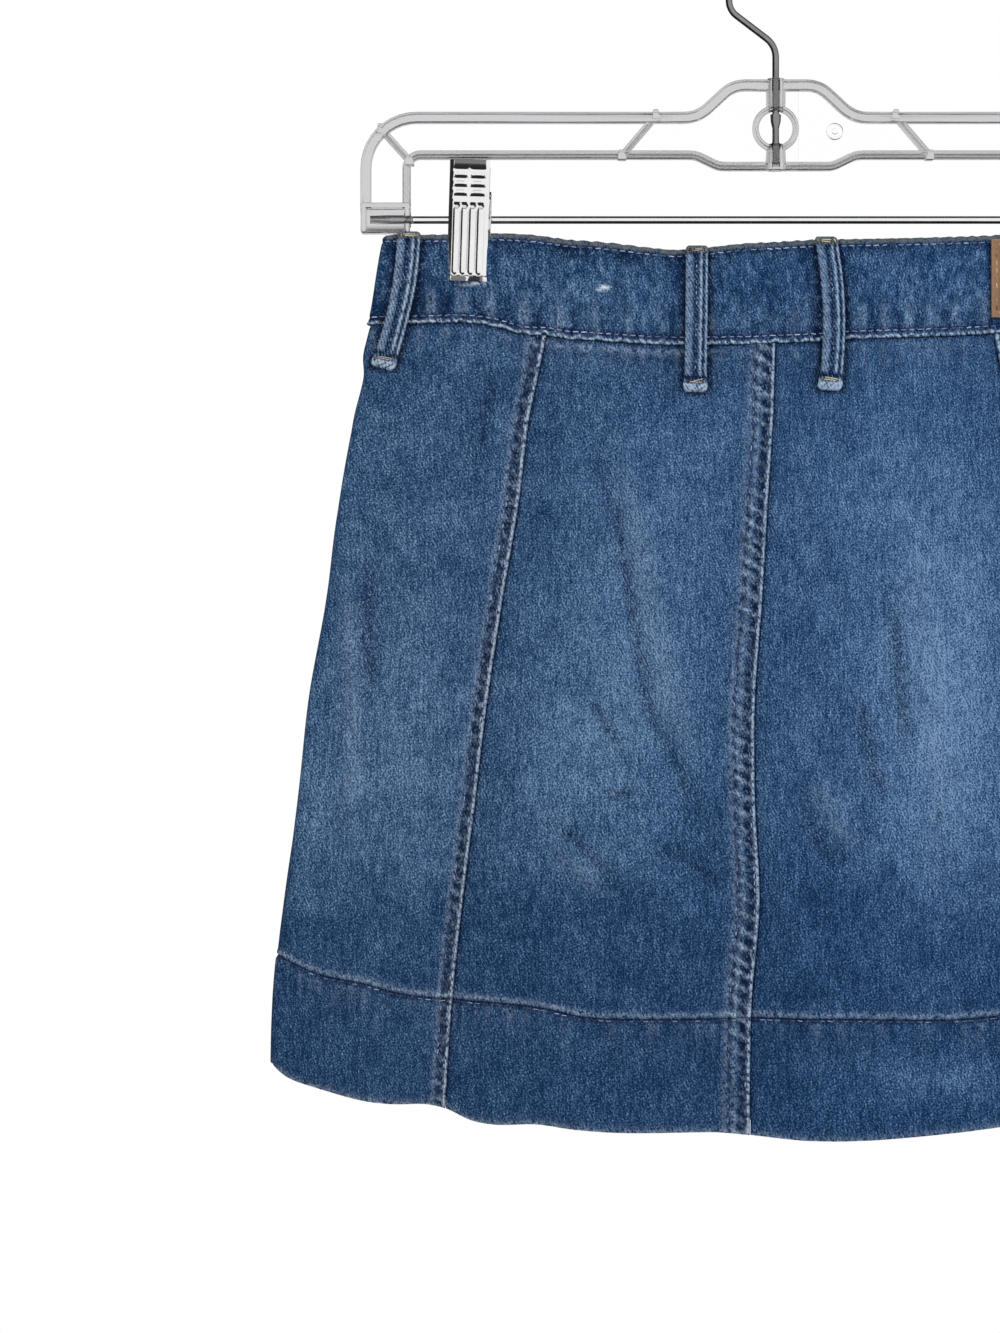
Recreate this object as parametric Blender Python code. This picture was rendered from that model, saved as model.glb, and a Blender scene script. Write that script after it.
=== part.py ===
"""A denim mini skirt that hangs by its waistband from a clip hanger.

Metres, +Z up. The origin is where a rail bears inside the hook. The back of the garment faces -Y
and +X is the wearer's right. The cloth is a flattened tube round the Z axis: a place on it is its
station round the tube and its depth below the origin.

Stations run -1 to 1 across the back, from the wearer's left fold to the right one, then 1 to 3 back
across the front. The back princess seams lie at -0.6 and 0.6, the centre back seam at 0 and the
centre front seam at 2.
"""

import itertools
import math
from collections import namedtuple

import bmesh
import bpy
from mathutils import Matrix, Vector

# Clearances and cloth
GAP = 0.0003  # between two pieces that touch
LEVEL_SEAM = 0.0004  # between the pieces above and below a level seam
SEAM_STATIONS = 0.0009  # half of that gap, in stations
CLOTH = 0.0012  # one layer of denim
BAND_CLOTH = 0.0022  # the doubled hem band
WAIST_CLOTH = 0.0024  # the doubled waistband
BAND_PROUD = 0.0005  # how far each doubled piece stands out from the panels
WAIST_PROUD = 0.0008
PRINCESS = 0.6  # station of the right back princess seam; the left one is at minus this
SIDE_SEAM = 1.05  # station of the right side seam, just round the fold on the front
SEAMS = (-SIDE_SEAM, -PRINCESS, 0.0, PRINCESS, SIDE_SEAM, 2.0, 4 - SIDE_SEAM)
COLUMN_STEP = 0.075  # between the cloth's columns on the back
COLUMN_STEP_FRONT = 0.095
PANEL_ROWS = 12
BAND_ROWS = 3
FOLD_RADIUS = 0.0032  # of the cloth at the side folds
ROUND_FOLD = (0.955, 0.983, 0.9915, 0.9977, 1.0, 1.0023, 1.0085, 1.017)  # stations of its columns
STOP_CLEAR = 0.02  # other columns keep this far off those
ARC_STEP = 15  # degrees between the points of a bend in the hanger's rails and wire

# The tube's sections: depth below the origin, then X of the wearer's left fold, the left princess
# seam, the centre back seam, the right princess seam and the right fold, and how far the middle of
# each face stands out beyond the fold radius.
Section = namedtuple("Section", "below left left_seam centre right_seam right bulge")
SECTIONS = (
    Section(0.1235, -0.1680, -0.0962, -0.0028, 0.0912, 0.1624, 0.0045),
    Section(0.1340, -0.1700, -0.0972, -0.0024, 0.0917, 0.1648, 0.0048),
    Section(0.1510, -0.1727, -0.0978, -0.0017, 0.0923, 0.1690, 0.0050),
    Section(0.1660, -0.1755, -0.0985, -0.0008, 0.0930, 0.1728, 0.0053),
    Section(0.1750, -0.1774, -0.1003, -0.0010, 0.0944, 0.1742, 0.0055),
    Section(0.1840, -0.1772, -0.1021, -0.0012, 0.0961, 0.1751, 0.0057),
    Section(0.2026, -0.1817, -0.1060, -0.0018, 0.0992, 0.1776, 0.0062),
    Section(0.2370, -0.1873, -0.1102, -0.0041, 0.1034, 0.1806, 0.0072),
    Section(0.2800, -0.1936, -0.1173, -0.0067, 0.1082, 0.1838, 0.0086),
    Section(0.3230, -0.2006, -0.1238, -0.0098, 0.1126, 0.1872, 0.0100),
    Section(0.3660, -0.2055, -0.1290, -0.0098, 0.1165, 0.1902, 0.0114),
    Section(0.4090, -0.2110, -0.1344, -0.0080, 0.1203, 0.1930, 0.0128),
    Section(0.4520, -0.2160, -0.1389, -0.0115, 0.1240, 0.1951, 0.0140),
    Section(0.5120, -0.2165, -0.1428, -0.0124, 0.1285, 0.1962, 0.0150),
)
STATIONS = {"left": -1.0, "left_seam": -PRINCESS, "centre": 0.0, "right_seam": PRINCESS, "right": 1.0}

# The back's level edges, as depths below the origin by station: the waistband's top, the waist seam,
# the hem band's seam and the hem's foot.
Edge = namedtuple("Edge", "station top waist band foot")
BACK_EDGES = (
    Edge(-1.00, 0.1235, 0.1618, 0.4320, 0.4790),
    Edge(-0.96, 0.1234, 0.1616, 0.4358, 0.4845),
    Edge(-0.90, 0.1233, 0.1614, 0.4403, 0.4883),
    Edge(-0.79, 0.1230, 0.1609, 0.4445, 0.4936),
    Edge(-0.72, 0.1227, 0.1625, 0.4480, 0.4949),
    Edge(-0.65, 0.1238, 0.1662, 0.4498, 0.4948),
    Edge(-0.60, 0.1250, 0.1667, 0.4503, 0.4967),
    Edge(-0.55, 0.1261, 0.1682, 0.4512, 0.5013),
    Edge(-0.50, 0.1266, 0.1687, 0.4517, 0.5029),
    Edge(-0.42, 0.1278, 0.1696, 0.4535, 0.5024),
    Edge(-0.34, 0.1294, 0.1701, 0.4572, 0.5048),
    Edge(-0.25, 0.1305, 0.1706, 0.4583, 0.5061),
    Edge(-0.07, 0.1278, 0.1699, 0.4580, 0.5058),
    Edge(0.00, 0.1273, 0.1692, 0.4575, 0.5069),
    Edge(0.10, 0.1264, 0.1687, 0.4580, 0.5091),
    Edge(0.20, 0.1260, 0.1684, 0.4580, 0.5090),
    Edge(0.40, 0.1253, 0.1669, 0.4583, 0.5056),
    Edge(0.60, 0.1242, 0.1648, 0.4532, 0.4996),
    Edge(0.72, 0.1230, 0.1633, 0.4486, 0.4966),
    Edge(0.85, 0.1231, 0.1622, 0.4423, 0.4910),
    Edge(0.93, 0.1233, 0.1619, 0.4380, 0.4865),
    Edge(1.00, 0.1235, 0.1620, 0.4325, 0.4795),
)
# How much deeper than at its side folds each edge hangs at the centre front.
FRONT_DROP = {"top": 0.0060, "waist": 0.0090, "band": 0.0250, "foot": 0.0260}

# Soft standing folds: where they are, how wide, how far they stand out, and where they start and
# reach their full height.
Fold = namedtuple("Fold", "station width out start full")
FOLDS = (
    Fold(-0.82, 0.10, 0.0016, 0.24, 0.44),
    Fold(-0.60, 0.06, -0.0024, 0.30, 0.48),
    Fold(-0.42, 0.10, 0.0026, 0.26, 0.47),
    Fold(-0.04, 0.08, -0.0018, 0.22, 0.42),
    Fold(0.24, 0.13, 0.0026, 0.24, 0.45),
    Fold(0.62, 0.08, -0.0020, 0.28, 0.46),
    Fold(0.83, 0.09, 0.0016, 0.25, 0.44),
    Fold(1.35, 0.13, 0.0022, 0.26, 0.46),
    Fold(1.72, 0.12, -0.0016, 0.22, 0.45),
    Fold(2.30, 0.14, 0.0024, 0.24, 0.45),
    Fold(2.70, 0.10, -0.0014, 0.28, 0.46),
)

# Waistband closing at the centre front: the wearer's left end laps over the right one.
OVER_END = 1.92  # station of the end that shows
UNDER_END = 6.16  # the hidden end, one turn and a lap further round
STEP_IN = (5.70, 5.88)  # where the right end steps in under the other
STEP_COLUMNS = 4
BUTTON_STATION = 2.00
BUTTON_LEVEL = 0.5  # share of the waistband's height
BUTTONHOLE = (1.988, 2.080)  # stations of the slot's ends
SHANK_RADIUS = 0.0015
CAP_RADIUS = 0.0085
CAP_HEIGHT = 0.0030
CAP_ROUND = 0.0010  # how much its rims are taken off

# Belt loops: stations are worked out from X at the loop's top, middle and foot.
LOOP_WIDTH = 0.0100
LOOP_CLOTH = 0.0018
LOOP_CAP = 0.0006  # how far a loop's top stands above the waistband
LOOP_LEVELS = 8
Loop = namedtuple("Loop", "name face top_x middle_x foot_x foot_below")
LOOPS = (
    Loop("belt_loop_back_left", "back", -0.0336, -0.0336, -0.0339, 0.1912),
    Loop("belt_loop_back_right", "back", 0.0204, 0.0242, 0.0223, 0.1893),
    Loop("belt_loop_side_left", "back", -0.1577, -0.1608, -0.1690, 0.1806),
    Loop("belt_loop_side_right", "back", 0.1526, 0.1560, 0.1648, 0.1811),
    Loop("belt_loop_front_left", "front", -0.0830, -0.0835, -0.0840, 0.1900),
    Loop("belt_loop_front_right", "front", 0.0790, 0.0800, 0.0810, 0.1900),
)
# How far a loop's under side stands out from the panels' surface, by share of its length.
Stand = namedtuple("Stand", "share out")
LOOP_STANDS = (
    Stand(0.00, 0.0011),
    Stand(0.12, 0.0016),
    Stand(0.45, 0.0027),
    Stand(0.66, 0.0022),
    Stand(0.88, 0.0012),
    Stand(1.00, 0.0003),
)

# Leather patch on the waistband
PATCH_LEFT, PATCH_RIGHT = 0.0914, 0.1284
PATCH_TOP, PATCH_FOOT = 0.1256, 0.1592
PATCH_LEATHER = 0.0013
PATCH_CLEAR = 0.0005  # behind the patch
PATCH_COLUMNS, PATCH_ROWS = 4, 3

# Hanger's wire hook
WIRE_RADIUS = 0.00145
HOOK_RADIUS = 0.0186 + WIRE_RADIUS  # of the wire's centreline
HOOK_TIP_ANGLE = -6.0  # degrees from +X, where the open end stops
HOOK_STEPS = 20
SHAFT_FOOT = -0.0928
Corner = namedtuple("Corner", "x z bend")  # bend is the radius of the arc round the corner
HOOK_CRANK = (
    Corner(0, -0.0600, 0),
    Corner(0, -0.0414, 0.010),
    Corner(-HOOK_RADIUS, -0.0261, 0.008),
    Corner(-HOOK_RADIUS, -HOOK_RADIUS - 0.001, 0),
)
# The flattened stop that carries the frame: height on the shaft and thickness in wire radii.
Swell = namedtuple("Swell", "z size")
HOOK_STOP = (
    Swell(SHAFT_FOOT, 1.0),
    Swell(-0.0770, 1.0),
    Swell(-0.0740, 1.45),
    Swell(-0.0708, 1.5),
    Swell(-0.0702, 1.0),
)

# Hanger's rod and moulded frame. Rails are given for the left half; bars and web for the right.
ROD_RADIUS = 0.00165
ROD_BELOW = 0.1164
ROD_HALF = 0.1742
HANGER_HALF = 0.1783
BLOCK_INNER = 0.1571
BLOCK_TOP, BLOCK_FOOT = -0.1093, -0.1222
BLOCK_DEPTH = 0.0080
TOP_RAIL_WIDTH, TOP_RAIL_DEPTH = 0.0044, 0.0060
TOP_RAIL = (
    Corner(-HANGER_HALF + TOP_RAIL_WIDTH / 2, BLOCK_TOP - 0.004, 0),
    Corner(-HANGER_HALF + TOP_RAIL_WIDTH / 2, -0.0725, 0.0218),
    Corner(-0.0335, -0.0725, 0.008),
    Corner(-0.0185, -0.0586, 0.008),
)
LOW_RAIL_WIDTH, LOW_RAIL_DEPTH = 0.0034, 0.0054
LOW_RAIL = (
    Corner(-0.1586, BLOCK_TOP - 0.004, 0),
    Corner(-0.1586, -0.0885, 0.006),
    Corner(-0.0345, -0.0885, 0.006),
    Corner(-0.0245, -0.0934, 0.006),
)
Bar = namedtuple("Bar", "name x z end_x end_z width depth")
BARS = (
    Bar("corner_brace", 0.1695, -0.0776, 0.1572, -0.0912, 0.0028, 0.0048),
    Bar("middle_brace", 0.0512, -0.0715, 0.0660, -0.0888, 0.0028, 0.0048),
    Bar("web", 0.0090, -0.0800, 0.0585, -0.0800, 0.0150, 0.0010),
)
RING_Z = -0.0771
RING_RADIUS = 0.0087  # of the ring's middle line
RING_WIDTH, RING_DEPTH = 0.0027, 0.0051
BOSS_RADIUS = 0.0043  # of the bosses above and below the ring
BOSSES = {"top": (-0.0687, -0.0556), "foot": (-0.0957, -0.0838)}
MARK_RADIUS, MARK_HALF_DEPTH = 0.0033, 0.0011  # of the round moulding mark on the web
MARK_PLACE = (0.0254, 0, -0.0783)

# Hanger's spring clips. A plate's line is seen from the side, from the jaw's tip up, with Z from the
# rod's line and out from the middle plane to the plate's inner face.
CLIP_X = (-0.1320, 0.1382)
CLIP_TILT = math.radians(1.9)
CLIP_HALF = 0.0081
CLIP_TIP = 0.1430  # depth of the jaws' tips
PLATE = 0.0008
PINCHED = 0.0027  # from the middle plane to the waistband's face in a clip's jaws
JAW = PINCHED + LEVEL_SEAM
PlatePoint = namedtuple("PlatePoint", "z out")
PLATE_LINE = (
    PlatePoint(ROD_BELOW - CLIP_TIP, JAW),
    PlatePoint(-0.0102, JAW),
    PlatePoint(0.0006, 0.0050),
    PlatePoint(0.0249, 0.0088),
)
EAR_FOOT, EAR_TOP = -0.0050, 0.0080
EAR_BEHIND, EAR_REACH = -0.0034, 0.0062  # past the rod and out to the plate
EARS_OUT = {"back": -0.0001, "front": 0.0011}  # how far the ears stand outside the plate's sides
WING = ((0.0071, 0.00545, -0.0020), (EAR_REACH, 0.0079))  # joins the wider ears to their plate
SPRING_RADIUS, SPRING_HALF = 0.0033, 0.0052
CLIP_BORE = ROD_RADIUS + 2 * GAP
THROUGH = 0.012  # half length of a cutter that goes right through a clip
JAW_HALF_SPAN = 0.0125  # the waistband is flat this far each side of a clip's centre
JAW_FREE_SPAN = 0.0300  # and free again from here
JAW_COLUMN = 0.0108  # the waistband's mesh has a column this far each side
JAW_FADE = (0.1450, 0.1900)  # depths over which the pinch fades out below a jaw


def smoothstep(start, end, value):
    share = min(1.0, max(0.0, (value - start) / (end - start)))
    return share * share * (3 - 2 * share)


def mix(a, b, share):
    return a + (b - a) * share


def along(rows, key, name, value):
    """A smooth curve through a table's column, read at a value of its key column."""
    keys = [getattr(row, key) for row in rows]
    heights = [getattr(row, name) for row in rows]
    value = min(keys[-1], max(keys[0], value))
    i = min(len(keys) - 2, sum(k <= value for k in keys[1:]))
    slopes = []
    for j in (i, i + 1):
        before, after = max(0, j - 1), min(len(keys) - 1, j + 1)
        slopes.append((heights[after] - heights[before]) / (keys[after] - keys[before]))
    width = keys[i + 1] - keys[i]
    t = (value - keys[i]) / width
    return (
        heights[i] * (1 + 2 * t) * (1 - t) ** 2
        + heights[i + 1] * t * t * (3 - 2 * t)
        + slopes[0] * width * t * (1 - t) ** 2
        - slopes[1] * width * t * t * (1 - t)
    )


def section(below):
    return Section(below, *(along(SECTIONS, "below", name, below) for name in Section._fields[1:]))


def edge(name, station):
    """Depth of one of the level edges at a station anywhere round the tube."""
    station = (station + 1) % 4 - 1
    if station <= 1:
        return along(BACK_EDGES, "station", name, station)
    across = 2 - station
    side = mix(getattr(BACK_EDGES[0], name), getattr(BACK_EDGES[-1], name), (across + 1) / 2)
    return side + FRONT_DROP[name] * (1 - across * across)


def x_across(across, cut):
    """X of a place across a face, -1 to 1."""
    names = list(STATIONS)
    for start, end in zip(names, names[1:]):
        if across <= STATIONS[end] or end == "right":
            share = (across - STATIONS[start]) / (STATIONS[end] - STATIONS[start])
            return mix(getattr(cut, start), getattr(cut, end), share)


def across_at(x, below):
    """Where X falls across a face at this depth, -1 to 1."""
    cut = section(below)
    names = list(STATIONS)
    for start, end in zip(names, names[1:]):
        if x <= getattr(cut, end) or end == "right":
            share = (x - getattr(cut, start)) / (getattr(cut, end) - getattr(cut, start))
            return mix(STATIONS[start], STATIONS[end], share)


def folds_out(station, below):
    """How far the soft folds move the cloth out at a place."""
    out = 0.0
    for fold in FOLDS:
        away = (station - fold.station) / fold.width
        out += fold.out * math.exp(-away * away) * smoothstep(fold.start, fold.full, below)
    return out


def ring_point(station, below):
    """(x, y) of the panels' outer surface at a station and depth."""
    station = (station + 1) % 4 - 1
    back = station <= 1
    across = station if back else 2 - station
    cut = section(below)
    x = x_across(across, cut)
    share = (2 * x - cut.left - cut.right) / (cut.right - cut.left)
    from_fold = min(FOLD_RADIUS, x - cut.left, cut.right - x)
    depth = math.sqrt(max(0.0, FOLD_RADIUS**2 - (FOLD_RADIUS - from_fold) ** 2))
    depth += cut.bulge * max(0.0, 1 - share * share) ** 1.2
    depth += folds_out(station, below) * (1 - share**6)
    for clip_x in CLIP_X:
        held = 1 - smoothstep(JAW_HALF_SPAN, JAW_FREE_SPAN, abs(x - clip_x))
        held *= 1 - smoothstep(*JAW_FADE, below)
        depth = mix(depth, PINCHED - WAIST_PROUD, held)
    return x, -depth if back else depth


def surface(station, below, proud=0.0):
    """A point that stands proud of the panels' outer surface, moved out level."""
    x, y = ring_point(station, below)
    reach_each_way = 0.0004
    ax, ay = ring_point(station - reach_each_way, below)
    bx, by = ring_point(station + reach_each_way, below)
    out = Vector((by - ay, ax - bx, 0)).normalized()
    return Vector((x, y, -below)) + out * proud


def material(name, colour, roughness, metallic=0.0):
    made = bpy.data.materials.new(name)
    made.use_nodes = True
    shader = made.node_tree.nodes["Principled BSDF"]
    shader.inputs["Base Color"].default_value = (*colour, 1)
    shader.inputs["Roughness"].default_value = roughness
    shader.inputs["Metallic"].default_value = metallic
    return made


def add_object(name, mesh, finish=None, helper=False):
    made = bpy.data.objects.new(name, mesh)
    bpy.context.scene.collection.objects.link(made)
    if finish:
        mesh.materials.append(finish)
    if helper:
        made.hide_render = True
        made.display_type = "WIRE"
    return made


def mesh_of(name, points, faces):
    """A mesh whose faces are turned to point outwards."""
    mesh = bpy.data.meshes.new(name)
    mesh.from_pydata(points, [], faces)
    shape = bmesh.new()
    shape.from_mesh(mesh)
    bmesh.ops.recalc_face_normals(shape, faces=shape.faces)
    shape.to_mesh(mesh)
    shape.free()
    return mesh


def shell(name, columns, rows, place, thick, finish, open_cells=()):
    """A closed wall of cloth. place(column, row) says (station, depth, proud) of its outer face, the
    inner face lies thick further in, and cells in open_cells are holes through it."""
    grid = [(i, j) for i in range(columns + 1) for j in range(rows + 1)]
    points = []
    for side in (0.0, thick):
        for i, j in grid:
            station, below, proud = place(i, j)
            points.append(surface(station, below, proud - side))
    number = {key: n for n, key in enumerate(grid)}
    inner = len(grid)
    cells = {(i, j) for i in range(columns) for j in range(rows)} - set(open_cells)
    faces = []
    for i, j in cells:
        corners = [number[i, j], number[i, j + 1], number[i + 1, j + 1], number[i + 1, j]]
        faces.append(corners)
        faces.append([n + inner for n in reversed(corners)])
        beside = ((i - 1, j), (i, j + 1), (i + 1, j), (i, j - 1))
        for k, neighbour in enumerate(beside):
            if neighbour not in cells:
                a, b = corners[k], corners[(k + 1) % 4]
                faces.append([b, a, a + inner, b + inner])
    used = sorted({n for face in faces for n in face})
    again = {n: k for k, n in enumerate(used)}
    mesh = mesh_of(name, [points[n] for n in used], [[again[n] for n in face] for face in faces])
    return add_object(name, mesh, finish)


def shared_columns():
    """Stations of the columns that all the cloth has, once round from the left side seam: at the
    seams, beside the clips' jaws, close together round the side folds and evenly between."""
    jaws = [across_at(x + side * JAW_COLUMN, CLIP_TIP) for x in CLIP_X for side in (-1, 1)]
    stops = {*jaws, *(2 - s for s in jaws), *(side * s for s in ROUND_FOLD for side in (-1, 1))}
    found = set()
    for start, end in zip(SEAMS, SEAMS[1:]):
        count = round((end - start) / (COLUMN_STEP_FRONT if start >= SIDE_SEAM else COLUMN_STEP))
        even = [mix(start, end, k / count) for k in range(count)]
        found |= {s for s in even if s == start or min(abs(s - stop) for stop in stops) > STOP_CLEAR}
    return sorted(found | stops)


def columns(start, end, stops=()):
    """Stations of a piece's columns: its two ends, its own stops and the shared ones between."""
    shared = [s + turn for turn in (0, 4) for s in shared_columns()]
    return sorted({start, end, *(s for s in (*shared, *stops) if start < s < end)})


def cloth_piece(name, start, end, upper, lower, rows, proud, thick, finish):
    """A panel or band between two stations and two level edges, clear of its neighbours."""
    stations = columns(start + SEAM_STATIONS, end - SEAM_STATIONS)

    def place(i, j):
        station = stations[i]
        top = edge(upper, station) + LEVEL_SEAM / 2
        foot = edge(lower, station) - (LEVEL_SEAM / 2 if lower != "foot" else 0)
        return station, mix(top, foot, j / rows), proud

    return shell(name, len(stations) - 1, rows, place, thick, finish)


def make_panels(denim):
    """Back centre and side panels and the two front panels, each with its piece of hem band."""
    names = ("back_side_left", "back_left", "back_right", "back_side_right", "front_right", "front_left")
    for name, start, end in zip(names, SEAMS, SEAMS[1:]):
        cloth_piece(f"panel_{name}", start, end, "waist", "band", PANEL_ROWS, 0.0, CLOTH, denim)
        cloth_piece(f"hem_band_{name}", start, end, "band", "foot", BAND_ROWS, BAND_PROUD, BAND_CLOTH, denim)


def make_waistband(denim):
    """One doubled band round the waist, with its ends lapped and a buttonhole in the outer one."""
    levels = (0.0, 0.24, 0.452, 0.548, 0.78, 1.0)
    hole_level = 2
    bend = [mix(*STEP_IN, k / STEP_COLUMNS) for k in range(STEP_COLUMNS + 1)]
    stations = columns(OVER_END, UNDER_END, (*BUTTONHOLE, *bend))
    step_in = WAIST_CLOTH + GAP

    def place(i, j):
        station = stations[i]
        proud = WAIST_PROUD - step_in * smoothstep(*STEP_IN, station)
        top, foot = edge("top", station), edge("waist", station) - LEVEL_SEAM / 2
        return station, mix(top, foot, levels[j]), proud

    start, end = BUTTONHOLE
    buttonhole = [(i, hole_level) for i, station in enumerate(stations) if start <= station < end]
    return shell("waistband", len(stations) - 1, len(levels) - 1, place, WAIST_CLOTH, denim, buttonhole)


def make_belt_loop(loop, denim):
    """A folded strip that stands off the waistband, seated at both of its ends."""
    front = loop.face == "front"
    station_at = (lambda x, below: 2 - across_at(x, below)) if front else across_at
    top = edge("top", station_at(loop.top_x, SECTIONS[0].below)) - LOOP_CAP

    def place(i, j):
        share = j / LOOP_LEVELS
        below = mix(top, loop.foot_below, share)
        middle = 4 * share * (1 - share)
        x = mix(loop.top_x, loop.foot_x, share)
        x += (loop.middle_x - mix(loop.top_x, loop.foot_x, 0.5)) * middle
        x += (i - 1) * LOOP_WIDTH / 2
        station = station_at(x, below)
        over_waistband = below < edge("waist", station)
        stand = max(along(LOOP_STANDS, "share", "out", share), over_waistband * (WAIST_PROUD + GAP))
        return station, below, stand + LOOP_CLOTH

    return shell(loop.name, 2, LOOP_LEVELS, place, LOOP_CLOTH, denim)


def make_patch(leather):
    """A plain leather patch sewn on the waistband beside the right princess seam."""

    def place(i, j):
        below = mix(PATCH_TOP, PATCH_FOOT, j / PATCH_ROWS)
        station = across_at(mix(PATCH_LEFT, PATCH_RIGHT, i / PATCH_COLUMNS), below)
        return station, below, WAIST_PROUD + PATCH_CLEAR + PATCH_LEATHER

    return shell("leather_patch", PATCH_COLUMNS, PATCH_ROWS, place, PATCH_LEATHER, leather)


def turned(name, profile, origin, axis, finish=None, helper=False):
    """A solid turned from (radius, height) points round an axis through origin."""
    sides = 24
    points, faces = [], []
    for radius, height in profile:
        for k in range(sides):
            angle = 2 * math.pi * k / sides
            points.append(Vector((radius * math.cos(angle), radius * math.sin(angle), height)))
    rings = len(profile)
    for r in range(rings - 1):
        for k in range(sides):
            n = (k + 1) % sides
            faces.append([r * sides + k, r * sides + n, (r + 1) * sides + n, (r + 1) * sides + k])
    faces.append(list(range(sides)))
    faces.append(list(range((rings - 1) * sides, rings * sides)))
    turn = Vector(axis).to_track_quat("Z", "Y")
    return add_object(name, mesh_of(name, [turn @ p + Vector(origin) for p in points], faces), finish, helper)


def make_button(metal):
    """A shank button at the centre front: its stem goes through the buttonhole to the under end."""
    below = mix(edge("top", BUTTON_STATION), edge("waist", BUTTON_STATION), BUTTON_LEVEL)
    face = surface(BUTTON_STATION, below, WAIST_PROUD)
    profile = (
        (SHANK_RADIUS, -WAIST_CLOTH),
        (SHANK_RADIUS, GAP),
        (CAP_RADIUS - CAP_ROUND, GAP),
        (CAP_RADIUS, GAP + CAP_ROUND),
        (CAP_RADIUS, GAP + CAP_HEIGHT - CAP_ROUND),
        (CAP_RADIUS - CAP_ROUND, GAP + CAP_HEIGHT),
    )
    return turned("waist_button", profile, face, (0, 1, 0), metal)


def rounded_route(corners):
    """Points of a line in the XZ plane through corners, each bend as an arc."""
    points = [Vector((corners[0].x, corners[0].z))]
    for before, corner, after in zip(corners, corners[1:], corners[2:]):
        here = Vector((corner.x, corner.z))
        into = (here - Vector((before.x, before.z))).normalized()
        away = (Vector((after.x, after.z)) - here).normalized()
        turn = into.angle_signed(away)
        start = here - into * corner.bend * math.tan(abs(turn) / 2)
        arm = Vector((-into.y, into.x)) * math.copysign(corner.bend, turn)
        steps = max(2, math.ceil(math.degrees(abs(turn)) / ARC_STEP))
        for k in range(steps + 1):
            points.append(start - arm + Matrix.Rotation(-turn * k / steps, 2) @ arm)
    points.append(Vector((corners[-1].x, corners[-1].z)))
    return points


def mirrored(corners):
    """A route's corners from the hanger's left half, with those of its right half after them."""
    return [*corners, *(Corner(-x, z, bend) for x, z, bend in reversed(corners))]


def beam(name, route, width, depth, helper=True, finish=None):
    """A bar of oblong section that follows points in the XZ plane, centred on Y = 0."""
    left, right = [], []
    for k, point in enumerate(route):
        into = (point - route[k - 1]).normalized() if k else (route[1] - point).normalized()
        away = (route[k + 1] - point).normalized() if k < len(route) - 1 else into
        along_it = (into + away).normalized()
        side = Vector((-along_it.y, along_it.x)) * width / 2 / along_it.dot(into)
        left.append(point + side)
        right.append(point - side)
    outline = left + right[::-1]
    count = len(outline)
    points = [Vector((p.x, y, p.y)) for y in (-depth / 2, depth / 2) for p in outline]
    faces = [[k, (k + 1) % count, (k + 1) % count + count, k + count] for k in range(count)]
    for k in range(len(route) - 1):
        quad = [k, k + 1, count - 2 - k, count - 1 - k]
        faces += [quad, [n + count for n in quad]]
    return add_object(name, mesh_of(name, points, faces), finish, helper)


def hoop(name, centre_z, radius, width, depth):
    """A ring of oblong section round the Y axis, as a helper."""
    sides = 32
    corners = ((-1, -1), (1, -1), (1, 1), (-1, 1))
    points, faces = [], []
    for k in range(sides):
        angle = 2 * math.pi * k / sides
        for i, j in corners:
            out = radius + i * width / 2
            points.append(Vector((out * math.cos(angle), j * depth / 2, centre_z + out * math.sin(angle))))
        after = (k + 1) % sides
        for c in range(4):
            n = (c + 1) % 4
            faces.append([4 * k + c, 4 * k + n, 4 * after + n, 4 * after + c])
    return add_object(name, mesh_of(name, points, faces), helper=True)


def box(name, corner, opposite):
    """A box between two corners, as a helper."""
    points = [Vector((x, y, z)) for x, y, z in itertools.product(*zip(corner, opposite))]
    faces = [(0, 1, 3, 2), (4, 6, 7, 5), (0, 4, 5, 1), (2, 3, 7, 6), (0, 2, 6, 4), (1, 5, 7, 3)]
    return add_object(name, mesh_of(name, points, faces), helper=True)


def combine(target, others, operation):
    """Joins helpers to a solid, or cuts them from it."""
    for other in others:
        step = target.modifiers.new(f"{operation.lower()}_{other.name}", "BOOLEAN")
        step.operation = operation
        step.object = other


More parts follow.
